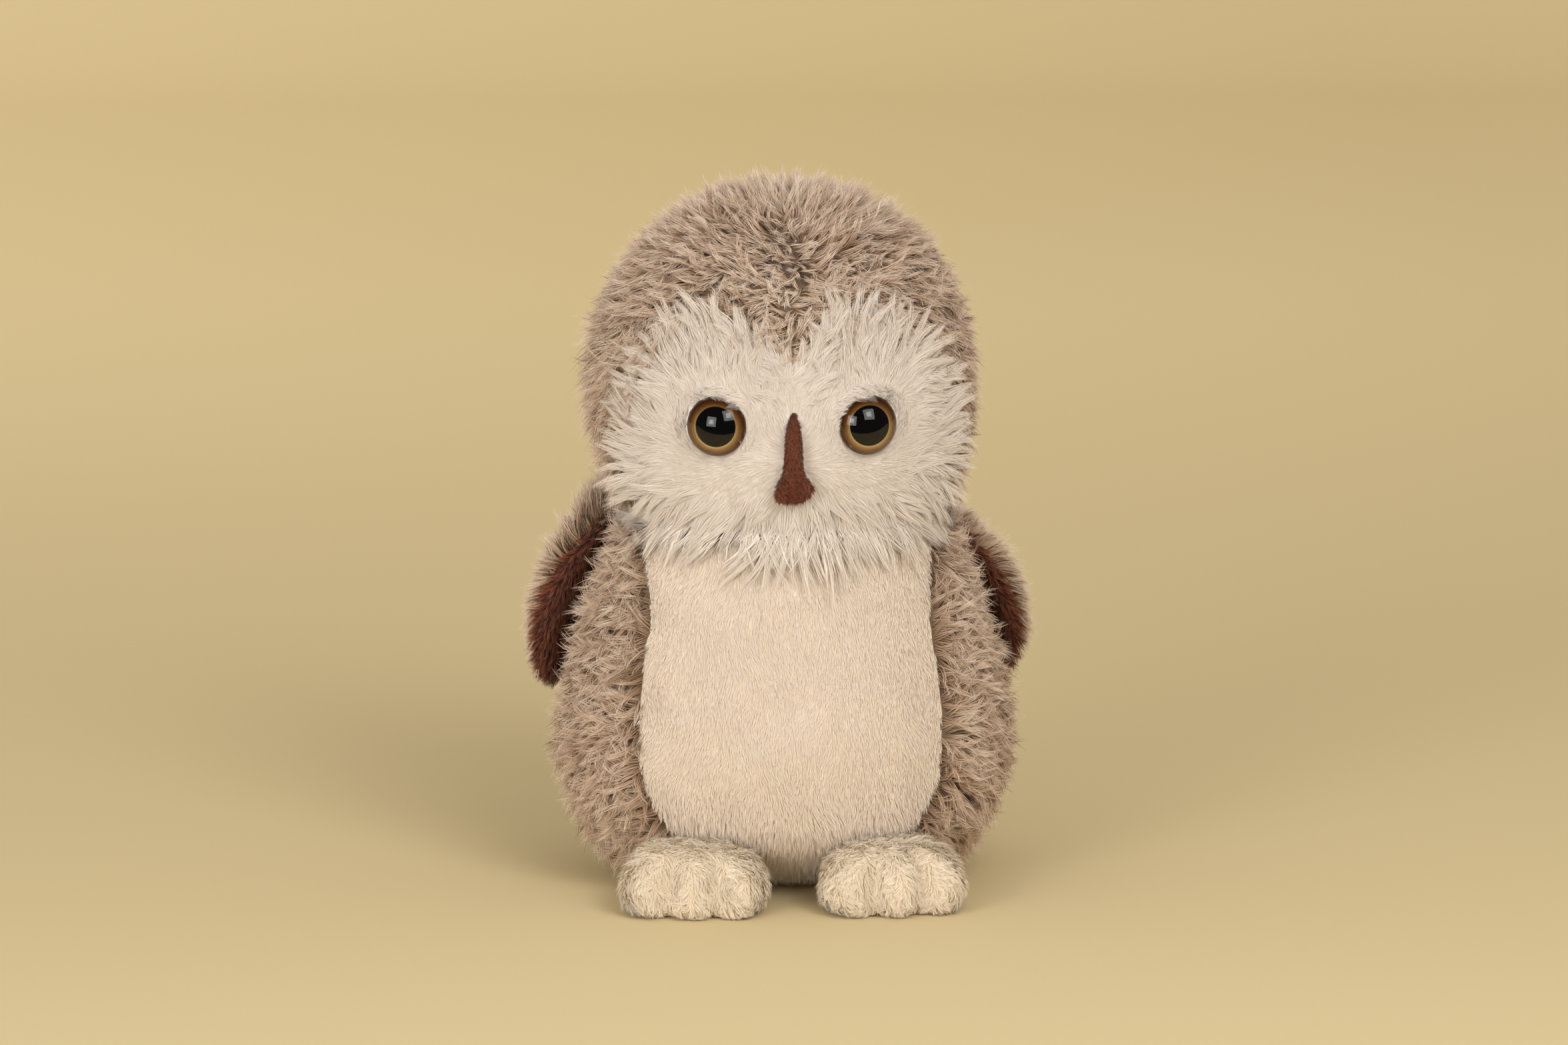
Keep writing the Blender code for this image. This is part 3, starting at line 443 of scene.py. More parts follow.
# %% Foot and wing covers
foot_covers = {}
wing_covers = {}
for side, _ in SIDES:
    nodes = [f"foot_upper_{side}", f"foot_sole_{side}", f"foot_filling_{side}"]
    foot = cover_from(f"foot_cover_{side}", nodes, 1.8 * MM, hull=False)
    points = coordinates(foot.data)
    stuff(foot, (points[:, 2] < 3 * MM) | (distance_to(points, TORSO_PANELS) < 2 * MM), 1.2 * MM)
    finish_cover(foot, floor=0.3 * MM)
    foot_covers[side] = foot
    nodes = [f"wing_outer_{side}", f"wing_lining_{side}", f"wing_wadding_{side}"]
    wing = cover_from(f"wing_cover_{side}", nodes, 1.5 * MM, hull=False)
    finish_cover(wing)
    wing_covers[side] = wing

# %% [markdown]
# ## Pile
# Pile is thousands of fibres that stand on a backing cloth and stick together in locks. Blender's
# own hair isn't a mesh, so here each fibre is a thin ribbon that tapers to a point, grown with
# array arithmetic. A lock has one root, one direction and one curl. Its fibres share them, start
# round the root and are pinched together at the tip, which gives the pointed tufts of real plush.
# The spacing, length and width are in millimetres, and a ribbon stands for a few real fibres,
# because a single fibre of 0.05 mm is too fine to show.

# %% Roots on a cover
def scatter(cover, spacing, rng):
    """Even random places on the cover, one for each square of this spacing, with their normals."""
    mesh = cover.data
    mesh.calc_loop_triangles()
    points = coordinates(mesh)
    normals = np.empty(len(points) * 3)
    mesh.vertex_normals.foreach_get("vector", normals)
    normals = normals.reshape(-1, 3)
    corners = np.empty(len(mesh.loop_triangles) * 3, np.int64)
    mesh.loop_triangles.foreach_get("vertices", corners)
    corners = corners.reshape(-1, 3)
    a, b, c = (points[corners[:, k]] for k in range(3))
    area = np.linalg.norm(np.cross(b - a, c - a), axis=1) / 2
    total = np.cumsum(area)
    count = int(total[-1] / spacing ** 2)
    picks = np.searchsorted(total, (np.arange(count) + rng.random(count)) / count * total[-1])
    picks = np.minimum(picks, len(area) - 1)
    u, v = rng.random(count), rng.random(count)
    flip = u + v > 1
    u[flip], v[flip] = 1 - u[flip], 1 - v[flip]
    w = 1 - u - v
    place = a[picks] * w[:, None] + b[picks] * u[:, None] + c[picks] * v[:, None]
    n = (
        normals[corners[picks, 0]] * w[:, None]
        + normals[corners[picks, 1]] * u[:, None]
        + normals[corners[picks, 2]] * v[:, None]
    )
    return place, unit(n)


def along_surface(directions, normals):
    """The directions laid flat on the surface."""
    return unit(directions - normals * np.sum(directions * normals, axis=1, keepdims=True))


# %% Growing the ribbons
SHADES = 64                    # how many shades a pile's ribbons share out between them
TIE = 0.12 * MM                # how deep a root sits in the backing cloth


def grow(name, body, slot, material, roots, normals, combs, rng, length, lean, tip_lean, curl=0.9,
         fibres=9, thickness=0.3 * MM, lock_radius=1.0 * MM, pinch=0.7, rows=4, droop=0.0,
         shade=None, ragged=0.35, wander=0.5, clear=0.4 * MM, swirl=0.6, swirl_size=22 * MM,
         uneven=0.35, roll_range=50, lift=0.35, stray=0.28, bright=(0.0, -0.3, 0.15), drape=None,
         relief=0.8):
    """Grows locks of ribbons and makes them one piece. With no body, the piece is attached to none.

    length, lean and tip_lean are one value or one for each lock. lean and tip_lean are the angles
    between the fibre and the cloth, at the root and at the tip. shade is each lock's tone, 0 to 1.
    bright turns the shading normals a little, as light that passes from fibre to fibre does, and
    relief is how much each fibre's own side counts in them. drape is the search tree of a cover
    that the fibres lie on where they reach it.
    """
    count = len(roots)
    spread = np.ones(count)
    length = length * spread * (1 + uneven * (rng.random(count) - 0.5))
    lean = lean * spread + lift * (rng.random(count) - 0.5)
    tip_lean = tip_lean * spread + 1.6 * lift * (rng.random(count) - 0.5)
    curl = curl * 2 * (rng.random(count) - 0.5)
    turn = wander * 2 * (rng.random(count) - 0.5) + swirl * drift(roots, swirl_size, rng)
    shade = rng.random(count) * 0.5 + 0.25 if shade is None else shade
    sides = np.cross(normals, combs)
    combs = combs * np.cos(turn)[:, None] + sides * np.sin(turn)[:, None]
    sides = np.cross(normals, combs)

    lock = np.repeat(np.arange(count), fibres)
    total = len(lock)
    n, c, b = normals[lock], combs[lock], sides[lock]
    reach = length[lock] * (1 - ragged * rng.random(total))
    angle = 2 * np.pi * rng.random(total)
    radius = lock_radius * np.sqrt(rng.random(total))
    offset = c * (np.cos(angle) * radius)[:, None] + b * (np.sin(angle) * radius)[:, None]
    start = roots[lock] + offset - n * TIE
    bend = curl[lock] + stray * (rng.random(total) - 0.5)
    root_lean = lean[lock] + stray * (rng.random(total) - 0.5)
    end_lean = tip_lean[lock] + stray * (rng.random(total) - 0.5)
    roll = math.radians(roll_range) * 2 * (rng.random(total) - 0.5)
    width = thickness * (0.7 + 0.6 * rng.random(total))

    steps = np.linspace(0.0, 1.0, rows)
    spine = [np.zeros((total, 3))]
    heading = []
    for place in (steps[1:] + steps[:-1]) / 2:
        tilt = root_lean + (end_lean - root_lean) * place
        swing = bend * place
        flat = c * np.cos(swing)[:, None] + b * np.sin(swing)[:, None]
        aim = flat * np.cos(tilt)[:, None] + n * np.sin(tilt)[:, None]
        aim[:, 2] -= droop * place ** 2
        aim = unit(aim)
        heading.append(aim)
        spine.append(spine[-1] + aim * (reach / (rows - 1))[:, None])
    heading.append(heading[-1])

    seen_from = n * np.array([0.7, 1.2, 0.1]) + np.array([0.0, -0.3, 0.0]) + np.array(bright)
    fronts = []
    points = np.empty((total, 2 * rows - 1, 3), np.float32)
    for row in range(rows):
        place = steps[row]
        centre = start + spine[row] - offset * (pinch * place ** 1.3)
        across = unit(np.cross(heading[row], n))
        over = np.cross(across, heading[row])
        blade = across * np.cos(roll)[:, None] + over * np.sin(roll)[:, None]
        fronts.append(over * np.cos(roll)[:, None] - across * np.sin(roll)[:, None])
        if row == rows - 1:
            points[:, 2 * row] = centre
        else:
            half = (width * (1 - 0.75 * place ** 1.6) / 2)[:, None]
            points[:, 2 * row] = centre - blade * half
            points[:, 2 * row + 1] = centre + blade * half
    laid = np.zeros_like(points)
    if drape:
        lies = (1.5 + 3.0 * rng.random(total)) * MM
        for ribbon, row in np.argwhere((points[:, :, 2] < NECK_TOP) & (points[:, :, 1] < 0.0)):
            near, outward = drape.find_nearest(Vector(points[ribbon, row]))[:2]
            if (Vector(points[ribbon, row]) - near).dot(outward) < lies[ribbon]:
                points[ribbon, row] = near + outward * lies[ribbon]
                laid[ribbon, row] = 2 * outward
    points[:, :, 2] = np.maximum(points[:, :, 2], clear)
    facing = np.empty_like(points)
    soft = unit(n + np.array(bright))
    for row, front in enumerate(fronts):
        seen = np.where(np.sum(front * seen_from, axis=1) < 0, -1.0, 1.0)[:, None]
        facing[:, 2 * row] = unit(relief * seen * front + soft + laid[:, 2 * row])
        if row < rows - 1:
            facing[:, 2 * row + 1] = facing[:, 2 * row]

    column = np.clip(shade[lock] + 0.22 * (rng.random(total) - 0.5), 0, 0.999)
    column = np.floor(column * SHADES) / SHADES
    lit = [np.sum((low + high) * seen_from, axis=1) for low, high in zip(fronts, fronts[1:])]
    turned = np.stack(lit, axis=1) < 0
    return ribbons(name, body, material, points, facing, column, steps, turned)


def ribbons(name, body, material, points, facing, column, steps, turned):
    """Builds one mesh from ribbons of equal rows, with the map that its material reads.

    turned says which faces of a ribbon are wound the other way, so that its lit side looks out.
    """
    total, per, _ = points.shape
    rows = len(steps)
    quads = rows - 2
    pattern = []
    for row in range(quads):
        pattern += [2 * row, 2 * row + 1, 2 * row + 3, 2 * row + 2]
    pattern += [2 * quads, 2 * quads + 1, 2 * quads + 2]
    pattern = np.tile(np.array(pattern), (total, 1))
    for row in range(rows - 1):
        swapped = [1, 0, 3, 2] if row < quads else [1, 0, 2]
        face = pattern[:, 4 * row:4 * row + len(swapped)]
        face[turned[:, row]] = face[turned[:, row]][:, swapped]
    corners = (np.arange(total)[:, None] * per + pattern).ravel()
    sizes = np.tile(np.array([4] * quads + [3]), total)
    starts = np.concatenate(([0], np.cumsum(sizes)[:-1]))
    mesh = bpy.data.meshes.new(name)
    mesh.vertices.add(total * per)
    mesh.vertices.foreach_set("co", points.reshape(-1))
    mesh.loops.add(len(corners))
    mesh.loops.foreach_set("vertex_index", corners.astype(np.int32))
    mesh.polygons.add(len(sizes))
    mesh.polygons.foreach_set("loop_start", starts.astype(np.int32))
    mesh.update(calc_edges=True)
    mesh.shade_smooth()
    light = mesh.attributes.new("custom_normal", "FLOAT_VECTOR", "POINT")
    light.data.foreach_set("vector", facing.reshape(-1))

    inset = 0.15 / SHADES
    left = np.array([0, 1] * (rows - 1) + [0.5])
    height = np.append(np.repeat(steps[:-1], 2), steps[-1])
    u = column[:, None] + inset + left[pattern] * (1 / SHADES - 2 * inset)
    v = 0.01 + 0.98 * height[pattern]
    bake_map = mesh.uv_layers.new(name="OFBake")
    bake_map.data.foreach_set("uv", np.stack([u, v], axis=-1).astype(np.float32).ravel())

    mesh.materials.append(material)
    piece = new_object(name, mesh)
    if body:
        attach(piece, body)
    print(name, total, "ribbons,", len(sizes) + total * quads, "triangles")
    return piece


# %% [markdown]
# ## Pile colours
# Each ribbon carries two numbers in its map: how far along the fibre a point is, and which shade
# the ribbon has. One ramp runs from root to tip. On the grey, cream and brown piles the foot is
# painted shade, darker where the fibres stand close and the backing shows, and the combed tips are
# painted light, paler for the light that passes through them. The white pile's foot is instead
# painted a little brighter than its tips, as painted light against the shade between its fibres.
# A second ramp spreads the ribbons over nearby tones, as the mixed yarns of the real pile do.

# %% Pile materials
def pile_material(name, along, tones, roughness=0.85, sheen=0.15):
    """A fibre finish: a colour from root to tip, times a tone for each ribbon."""
    material, tree, shader = new_material(name, roughness)
    shader.inputs["Sheen Weight"].default_value = sheen
    shader.inputs["Sheen Roughness"].default_value = 0.5
    shader.inputs["Specular IOR Level"].default_value = 0.25
    where = add_node(tree, "ShaderNodeUVMap", uv_map="OFBake")
    parts = add_node(tree, "ShaderNodeSeparateXYZ", {"Vector": where.outputs["UV"]})
    fibre = add_node(tree, "ShaderNodeValToRGB", {"Fac": parts.outputs["Y"]})
    set_stops(fibre, along)
    tone = add_node(tree, "ShaderNodeValToRGB", {"Fac": parts.outputs["X"]})
    set_stops(tone, tones)
    mixed = multiplied(tree, fibre.outputs["Color"], tone.outputs["Color"])
    tree.links.new(mixed, shader.inputs["Base Color"])
    return material


GREY_PILE = pile_material(
    "acrylic_pile_grey_brown",
    [(0.0, "#8a7259"), (0.3, "#b69c82"), (0.65, "#dbc6b0"), (1.0, "#fdf0e1")],
    [(0.0, "#c2ad9b"), (0.5, "#f2e8e0"), (1.0, "#ffffff")],
)
# Painted light: the white pile's foot is brighter than its tips, against the shade between fibres.
WHITE_PILE = pile_material(
    "acrylic_pile_white",
    [(0.0, "#f1e6da"), (0.3, "#ede2d6"), (1.0, "#eae0d3")],
    [(0.0, "#f6efe9"), (0.5, "#fcf9f6"), (1.0, "#ffffff")],
)
# The cream pile's palest tone, at 1, is painted light that the feet take.
CREAM_PILE = pile_material(
    "short_pile_cream",
    [(0.0, "#fbeacb"), (0.4, "#fbebcf"), (1.0, "#fcedd7")],
    [(0.0, "#efedf1"), (0.75, "#f5f4fd"), (1.0, "#ffffff")],
)
BROWN_PILE = pile_material(
    "velboa_pile_brown",
    [(0.0, "#4e281a"), (0.5, "#78442e"), (1.0, "#a06748")],
    [(0.0, "#c4a89c"), (0.5, "#ecdcd4"), (1.0, "#ffffff")],
    sheen=0.3,
)

# %% Backing cloth
def backing_material(name, dark, light, thread):
    """Knitted backing cloth under the pile: a soft mottle and the dots of the knit."""
    material, tree, shader = new_material(name, 0.95)
    where = add_node(tree, "ShaderNodeTexCoord")
    spot = where.outputs["Object"]
    mottle = add_node(tree, "ShaderNodeTexNoise", {"Vector": spot, "Scale": 1 / (6 * MM)})
    colour = add_node(tree, "ShaderNodeValToRGB", {"Fac": mottle.outputs["Fac"]})
    set_stops(colour, [(0.3, dark), (0.7, light)])
    tree.links.new(colour.outputs["Color"], shader.inputs["Base Color"])
    knit = add_node(tree, "ShaderNodeTexVoronoi", {"Vector": spot, "Scale": 1 / thread})
    bump = add_node(
        tree, "ShaderNodeBump",
        {"Height": knit.outputs["Distance"], "Strength": 0.4, "Distance": 0.3 * MM},
    )
    tree.links.new(bump.outputs["Normal"], shader.inputs["Normal"])
    return material


GREY_BACKING = backing_material("knit_backing_grey_brown", "#6e5b4b", "#84705e", 0.8 * MM)
WHITE_BACKING = backing_material("knit_backing_white", "#f3e8dd", "#f8eee4", 0.8 * MM)
CREAM_BACKING = backing_material("knit_backing_cream", "#f0dec6", "#f6e7d2", 0.6 * MM)
BROWN_BACKING = backing_material("knit_backing_brown", "#4a281d", "#5c3426", 0.6 * MM)


def paint_panels(cover, nodes, materials):
    """Gives each face of the cover the backing of the panel that it lies on."""
    for material in materials:
        cover.data.materials.append(material)
    centres = np.array([face.center for face in cover.data.polygons])
    cover.data.polygons.foreach_set("material_index", owners_of(centres, nodes).astype(np.int32))


paint_panels(torso_cover, TORSO_PANELS, [GREY_BACKING, GREY_BACKING, CREAM_BACKING, CREAM_BACKING])
paint_panels(head_cover, HEAD_PANELS, [GREY_BACKING, GREY_BACKING, WHITE_BACKING])
for side, _ in SIDES:
    foot_covers[side].data.materials.append(CREAM_BACKING)
    nodes = [f"wing_outer_{side}", f"wing_lining_{side}"]
    paint_panels(wing_covers[side], nodes, [GREY_BACKING, BROWN_BACKING])

# %% [markdown]
# ## Grey-brown pile of the head
# The pile is parted along the crown's middle seam and combed out and down from it, so the locks
# lie nearly level over the forehead and turn downward on the sides.

# %% Head pile
NECK_BASE = NECK_Z - 12 * MM       # below this the pile follows the torso alone
NECK_TOP = NECK_Z + 12 * MM        # above this it follows the head alone
rng = np.random.default_rng(11)
roots, normals = scatter(head_cover, 1.7 * MM, rng)
owner = owners_of(roots, HEAD_PANELS)
keep = (owner < 2) & (roots[:, 2] > NECK_Z - 1 * MM)
keep &= ~((normals[:, 2] < -0.9) & (roots[:, 2] < NECK_Z + 2 * MM))
roots, normals = roots[keep], normals[keep]
x, y, z = roots.T
side_sign = side_of(roots)
parting = x / np.sqrt(x ** 2 + (7 * MM) ** 2)
parting += np.exp(-(x / (4 * MM)) ** 2) * rng.normal(0, 0.4, len(x))
crown = share((z - 208 * MM) / (24 * MM)) ** 1.5
combs = np.stack([
    parting,
    0.35 * np.clip(y / (50 * MM), -0.2, 1.0) + 0.3 * crown,
    -(0.3 + 1.5 * (np.abs(x) / (60 * MM)) ** 2 + 0.9 * share(y / (50 * MM))),
], axis=1)
combs = along_surface(combs, normals)
from_face = distance_to(roots, ["face_panel"])
near_face = share(1 - from_face / (9 * MM))
combs[:, 2] *= 1 - 0.8 * near_face
combs[:, 0] += parting * near_face
combs = along_surface(combs, normals)
full = share((-x - 30 * MM) / (25 * MM)) * np.exp(-((z - 178 * MM) / (26 * MM)) ** 2)
length = (10.5 - 5.5 * near_face + 5.0 * full) * MM
shade = share(0.5 + 0.22 * drift(roots, 9 * MM, rng) + 0.3 * (rng.random(len(roots)) - 0.5))
# Painted light: the locks along the front of the crown's parting take paler tones against its shadow.
shade += 0.25 * np.exp(-(x / (6 * MM)) ** 2) * (y < 0)
stand = math.radians(55) + math.radians(16) * crown
tip_stand = math.radians(20) + math.radians(36) * crown
neck_roots = [[array[z < NECK_TOP] for array in (roots, normals, combs, length, shade)]]
for side, sign in SIDES:
    for part, front in (("front", True), ("back", False)):
        pick = (side_sign == sign) & ((y < 4 * MM) == front) & (z >= NECK_TOP)
        grow(
            f"head_pile_{side}_{part}", "head", "grey_brown_plush", GREY_PILE,
            roots[pick], normals[pick], combs[pick], rng,
            length=length[pick], lean=stand[pick], tip_lean=tip_stand[pick], fibres=11,
            bright=(0, -0.6, 0.1), lock_radius=1.25 * MM, thickness=0.26 * MM, curl=1.6,
            pinch=0.75, wander=0.8, swirl=0.8, swirl_size=15 * MM, uneven=0.6, ragged=0.45, lift=0.5, shade=shade[pick],
        )

# %% [markdown]
# ## White pile of the face
# The face panel has the longest pile. It is short and smooth round the eyes and the beak, grows
# longer towards the seam, and hangs over it as a fringe of pointed locks. Each half is combed out
# from the middle seam, and round the eyes rather than across them.

# %% Which way the face pile lies
def face_lay(roots, normals):
    """The comb on the face: out from the middle seam, up over the lobes, and round the eyes."""
    x, y, z = roots.T
    sign = side_of(roots)
    outer = share(np.abs(x) / (26 * MM))
    outer = outer ** 2 * (3 - 2 * outer)
    centre_x = sign * (18 * outer - 4 * (1 - outer)) * MM
    combs = np.stack([x - centre_x, np.zeros(len(x)), z - 150 * MM], axis=1)
    combs = unit(combs)
    eye_gap = np.full(len(x), 1.0)
    for place in EYES.values():
        to_eye = np.stack([place.x - x, np.zeros(len(x)), place.z - z], axis=1)
        gap = np.linalg.norm(to_eye, axis=1)
        to_eye /= gap[:, None]
        towards = np.sum(combs * to_eye, axis=1)
        near = share(1 - (gap - 10 * MM) / (10 * MM))
        combs -= to_eye * (np.maximum(towards, 0) * near * 1.15)[:, None]
        eye_gap = np.minimum(eye_gap, gap - 10 * MM)
    return along_surface(combs, normals), eye_gap


def face_roots(spacing, rng):
    """Roots on the face panel, clear of the eyes and the beak, and how far its edge is."""
    roots, normals = scatter(head_cover, spacing, rng)
    keep = (owners_of(roots, HEAD_PANELS) == 2) & (normals[:, 1] < 0.2)
    for place in EYES.values():
        keep &= np.hypot(roots[:, 0] - place.x, roots[:, 2] - place.z) > 9.7 * MM
    low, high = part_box("beak")
    beside = np.abs(roots[:, 0]) >= 2.2 * MM
    keep &= beside | (roots[:, 2] <= low.z) | (roots[:, 2] >= high.z - 1.5 * MM)
    roots, normals = roots[keep], normals[keep]
    edge = np.minimum(
        distance_to(roots, ["head_panel_left", "head_panel_right"]), (roots[:, 2] - NECK_Z) * 1.2
    )
    return roots, normals, edge


# %% Face pile: a short velvety layer all over
torso_skin = BVHTree.FromObject(torso_cover, bpy.context.evaluated_depsgraph_get())
rng = np.random.default_rng(23)
roots, normals, edge = face_roots(0.95 * MM, rng)
combs, eye_gap = face_lay(roots, normals)
rim = share(1 - edge / (24 * MM))
chin = share((139 * MM - roots[:, 2]) / (9 * MM))
length = np.minimum((5.0 + 4.0 * rim + 9.0 * chin) * MM, 3.0 * MM + 0.6 * np.maximum(eye_gap, 0))
for side, sign in SIDES:
    pick = side_of(roots) == sign
    grow(
        f"face_pile_{side}", "head", "white_plush", WHITE_PILE,
        roots[pick], normals[pick], combs[pick], rng,
        length=length[pick], lean=math.radians(15), tip_lean=math.radians(3), fibres=7,
        lock_radius=0.9 * MM, pinch=0.3, curl=0.3, wander=0.12, swirl=0.25, lift=0.08, stray=0.1,
        thickness=0.22 * MM, roll_range=30, relief=0.6, drape=torso_skin,
    )

# %% Face pile: long pointed locks round the rim
rng = np.random.default_rng(29)
roots, normals, edge = face_roots(2.1 * MM, rng)
combs, eye_gap = face_lay(roots, normals)
x, y, z = roots.T
rim = share(1 - edge / (17 * MM))
bottom = share((142 * MM - z) / (12 * MM))
rim = np.maximum(rim, bottom)
notch_reach = np.where(x < 0, 13 * MM, 3.5 * MM)
upper = share((z - 165 * MM) / (12 * MM))
notch = np.exp(-(x / notch_reach) ** 2) * upper
steep = np.exp(-((x - 6 * MM) / (13 * MM)) ** 2) * upper * (x > 0)
combs[:, 0] -= 0.9 * notch * (x < 0)
combs[:, 0] *= 1 - 0.85 * steep
combs[:, 2] += 0.8 * steep
combs = along_surface(combs, normals)
side_rim = rim * share((np.abs(x) - 30 * MM) / (15 * MM))
corner = share((np.abs(x) - 26 * MM) / (10 * MM)) * share((z - 172 * MM) / (10 * MM))
combs[:, 0] += 0.5 * np.sign(x) * corner
combs = along_surface(combs, normals)
wisps = 5 * (rng.random(len(x)) < 0.2)
length = (8.5 + (12 + 8 * bottom + 4 * side_rim + 4 * corner + wisps) * rim) * (1 - 0.65 * notch) * MM
length = np.minimum(length, 3 * MM + 0.9 * np.maximum(eye_gap, 0))
combs[:, 2] -= 0.35 * bottom
combs = along_surface(combs, normals)
keep = (rim > 0.05) & (length > 5 * MM) & (normals[:, 2] > -0.55)
roots, normals, combs, rim, bottom, length = (
    array[keep] for array in (roots, normals, combs, rim, bottom, length)
)
for side, sign in SIDES:
    pick = side_of(roots) == sign
    grow(
        f"face_fringe_{side}", "head", "white_plush", WHITE_PILE,
        roots[pick], normals[pick], combs[pick], rng,
        length=length[pick], lean=np.radians(12 + 22 * rim[pick] - 6 * bottom[pick]),
        tip_lean=np.radians(2 + 12 * rim[pick] - 8 * bottom[pick]), rows=5, fibres=38,
        lock_radius=2.2 * MM, pinch=0.8, curl=0.7, wander=0.3, swirl=0.4, droop=0.35, thickness=0.2 * MM,
        lift=0.2, stray=0.13, ragged=0.3, bright=(0, -0.9, 0.3), drape=torso_skin,
        relief=0.4,
    )

# %% Face pile: fibres that run round the eyes and lap over their rims
rng = np.random.default_rng(31)
for side, place in EYES.items():
    roots, normals = scatter(head_cover, 0.8 * MM, rng)
    to_eye = np.array(place) - roots
    gap = np.hypot(to_eye[:, 0], to_eye[:, 2])
    keep = (gap > 9.9 * MM) & (gap < 13.5 * MM) & (normals[:, 1] < 0)
    roots, normals, to_eye = roots[keep], normals[keep], unit(to_eye[keep])
    above = share(-to_eye[:, 2])
    round_eye = np.cross(normals, to_eye) * np.where(roots[:, 0] > place.x, -1.0, 1.0)[:, None]
    inward = 0.15 + 0.5 * above + 0.35 * drift(roots, 9 * MM, rng)
    combs = along_surface(round_eye + to_eye * inward[:, None], normals)
    grow(
        f"eye_rim_pile_{side}", "head", "white_plush", WHITE_PILE, roots, normals, combs, rng,
        length=(4.0 + 1.5 * above) * MM, lean=np.radians(22 + 34 * share(inward)),
        tip_lean=np.radians(4 + 26 * share(inward)), fibres=7,
        lock_radius=0.8 * MM, thickness=0.2 * MM, pinch=0.5, rows=4, curl=0.5, wander=0.3, swirl=0.2,
        lift=0.2, stray=0.2, bright=(0, -1.0, 0.3), relief=0.15,
    )

# %% [markdown]
# ## Torso pile
# The long pile of the sides leans away from the belly and down. The belly's pile is a velvety
# 3 mm, brushed straight down.

# %% Grey-brown sides and back
SIDE_FUR = {                   # what the locks of the torso and the neck share
    "fibres": 12, "lock_radius": 1.4 * MM, "thickness": 0.26 * MM, "curl": 1.7, "pinch": 0.8,
    "wander": 0.8, "swirl": 0.8, "swirl_size": 16 * MM, "uneven": 0.6, "ragged": 0.45, "lift": 0.5,
}
rng = np.random.default_rng(37)
roots, normals = scatter(torso_cover, 1.75 * MM, rng)
owner = owners_of(roots, TORSO_PANELS)
keep = (owner < 2) & (roots[:, 2] > 5 * MM) & (roots[:, 2] < NECK_Z + 1 * MM)
keep &= normals[:, 2] < 0.9
roots, normals = roots[keep], normals[keep]
x, y, z = roots.T
side_sign = side_of(roots)
frontness = share((15 * MM - y) / (60 * MM))
shoulder = share((z - 85 * MM) / (30 * MM))
combs = np.stack([
    side_sign * (0.25 + 0.75 * frontness),
    0.8 * frontness,
    -(0.45 + 0.75 * (1 - frontness) + 0.35 * (1 - z / NECK_Z) + 1.1 * shoulder),
], axis=1)
combs = along_surface(combs, normals)
length = np.minimum(12.0 * MM, 5 * MM + 0.5 * z)
shade = share(0.5 + 0.22 * drift(roots, 9 * MM, rng) + 0.3 * (rng.random(len(roots)) - 0.5))
stand = np.radians(50 + 10 * share(1 - z / (70 * MM)))
pressed = share(1.4 - distance_to(roots, ["wing_lining_left", "wing_lining_right"]) / (11 * MM))
length *= 1 - 0.5 * pressed
stand *= 1 - 0.65 * pressed
neck_roots.append([array[z > NECK_BASE] for array in (roots, normals, combs, length, shade)])
for side, sign in SIDES:
    for part, near, far in (("front", -90, -4), ("side", -4, 24), ("back", 24, 90)):
        pick = (side_sign == sign) & (y >= near * MM) & (y < far * MM) & (z <= NECK_BASE)
        grow(
            f"torso_pile_{side}_{part}", "torso", "grey_brown_plush", GREY_PILE,
            roots[pick], normals[pick], combs[pick], rng,
            length=length[pick], lean=stand[pick], tip_lean=math.radians(16), shade=shade[pick],
            **SIDE_FUR,
        )

# %% [markdown]
# The head and the torso are one skin at the neck, and it twists when the head turns. So a band of
# cloth and its pile cross the neck.

# %% Neck
def tube_faces(rings, columns):
    """The faces between rings of equal columns, each with the column that it starts at."""
    for row in range(rings - 1):
        for column in range(columns):
            here, after = row * columns, (row + 1) * columns
            ahead = (column + 1) % columns
            yield column, (here + column, here + ahead, after + ahead, after + column)


def neck_band(columns, heights):
    """A ring of cloth just inside both covers, across the neck seam, open under the fringe."""
    graph = bpy.context.evaluated_depsgraph_get()
    skins = [BVHTree.FromObject(cover, graph) for cover in (torso_cover, head_cover)]
    points = []
    for height in heights:
        skin = skins[0] if height < NECK_Z else skins[1]
        for column in range(columns):
            turn = 2 * math.pi * column / columns
            out = Vector((math.sin(turn), math.cos(turn), 0.0))
            hit = skin.ray_cast(out * 0.2 + Vector((0.0, 0.0, height)), -out)[0]
            points.append(hit - out * 0.6 * MM)
    faces = [
        face for column, face in tube_faces(len(heights), columns)
        if math.cos(2 * math.pi * column / columns) > -0.5
    ]
    mesh = bpy.data.meshes.new("neck_band")
    mesh.from_pydata(points, [], faces)
    band = new_object("neck_band", mesh)
    thick = band.modifiers.new("Cloth", "SOLIDIFY")
    thick.thickness = 0.4 * MM
    thick.offset = 0.0
    settle(band)
    band.data.shade_smooth()
    return band


def across_neck(piece):
    """Bakes the piece's place into its mesh; it rides no body."""
    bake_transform(piece)


band = neck_band(96, [NECK_Z + offset * MM for offset in (-6.0, -4.0, -2.0, 2.0, 4.0, 6.0)])
band.data.materials.append(GREY_BACKING)
across_neck(band)
roots, normals, combs, length, shade = (np.concatenate(pair) for pair in zip(*neck_roots))
for part, front in (("front", True), ("back", False)):
    pick = (roots[:, 1] < 4 * MM) == front
    piece = grow(
        f"neck_pile_{part}", None, "grey_brown_plush", GREY_PILE,
        roots[pick], normals[pick], combs[pick], rng, length=length[pick],
        lean=math.radians(50), tip_lean=math.radians(18), shade=shade[pick], **SIDE_FUR,
    )
    across_neck(piece)

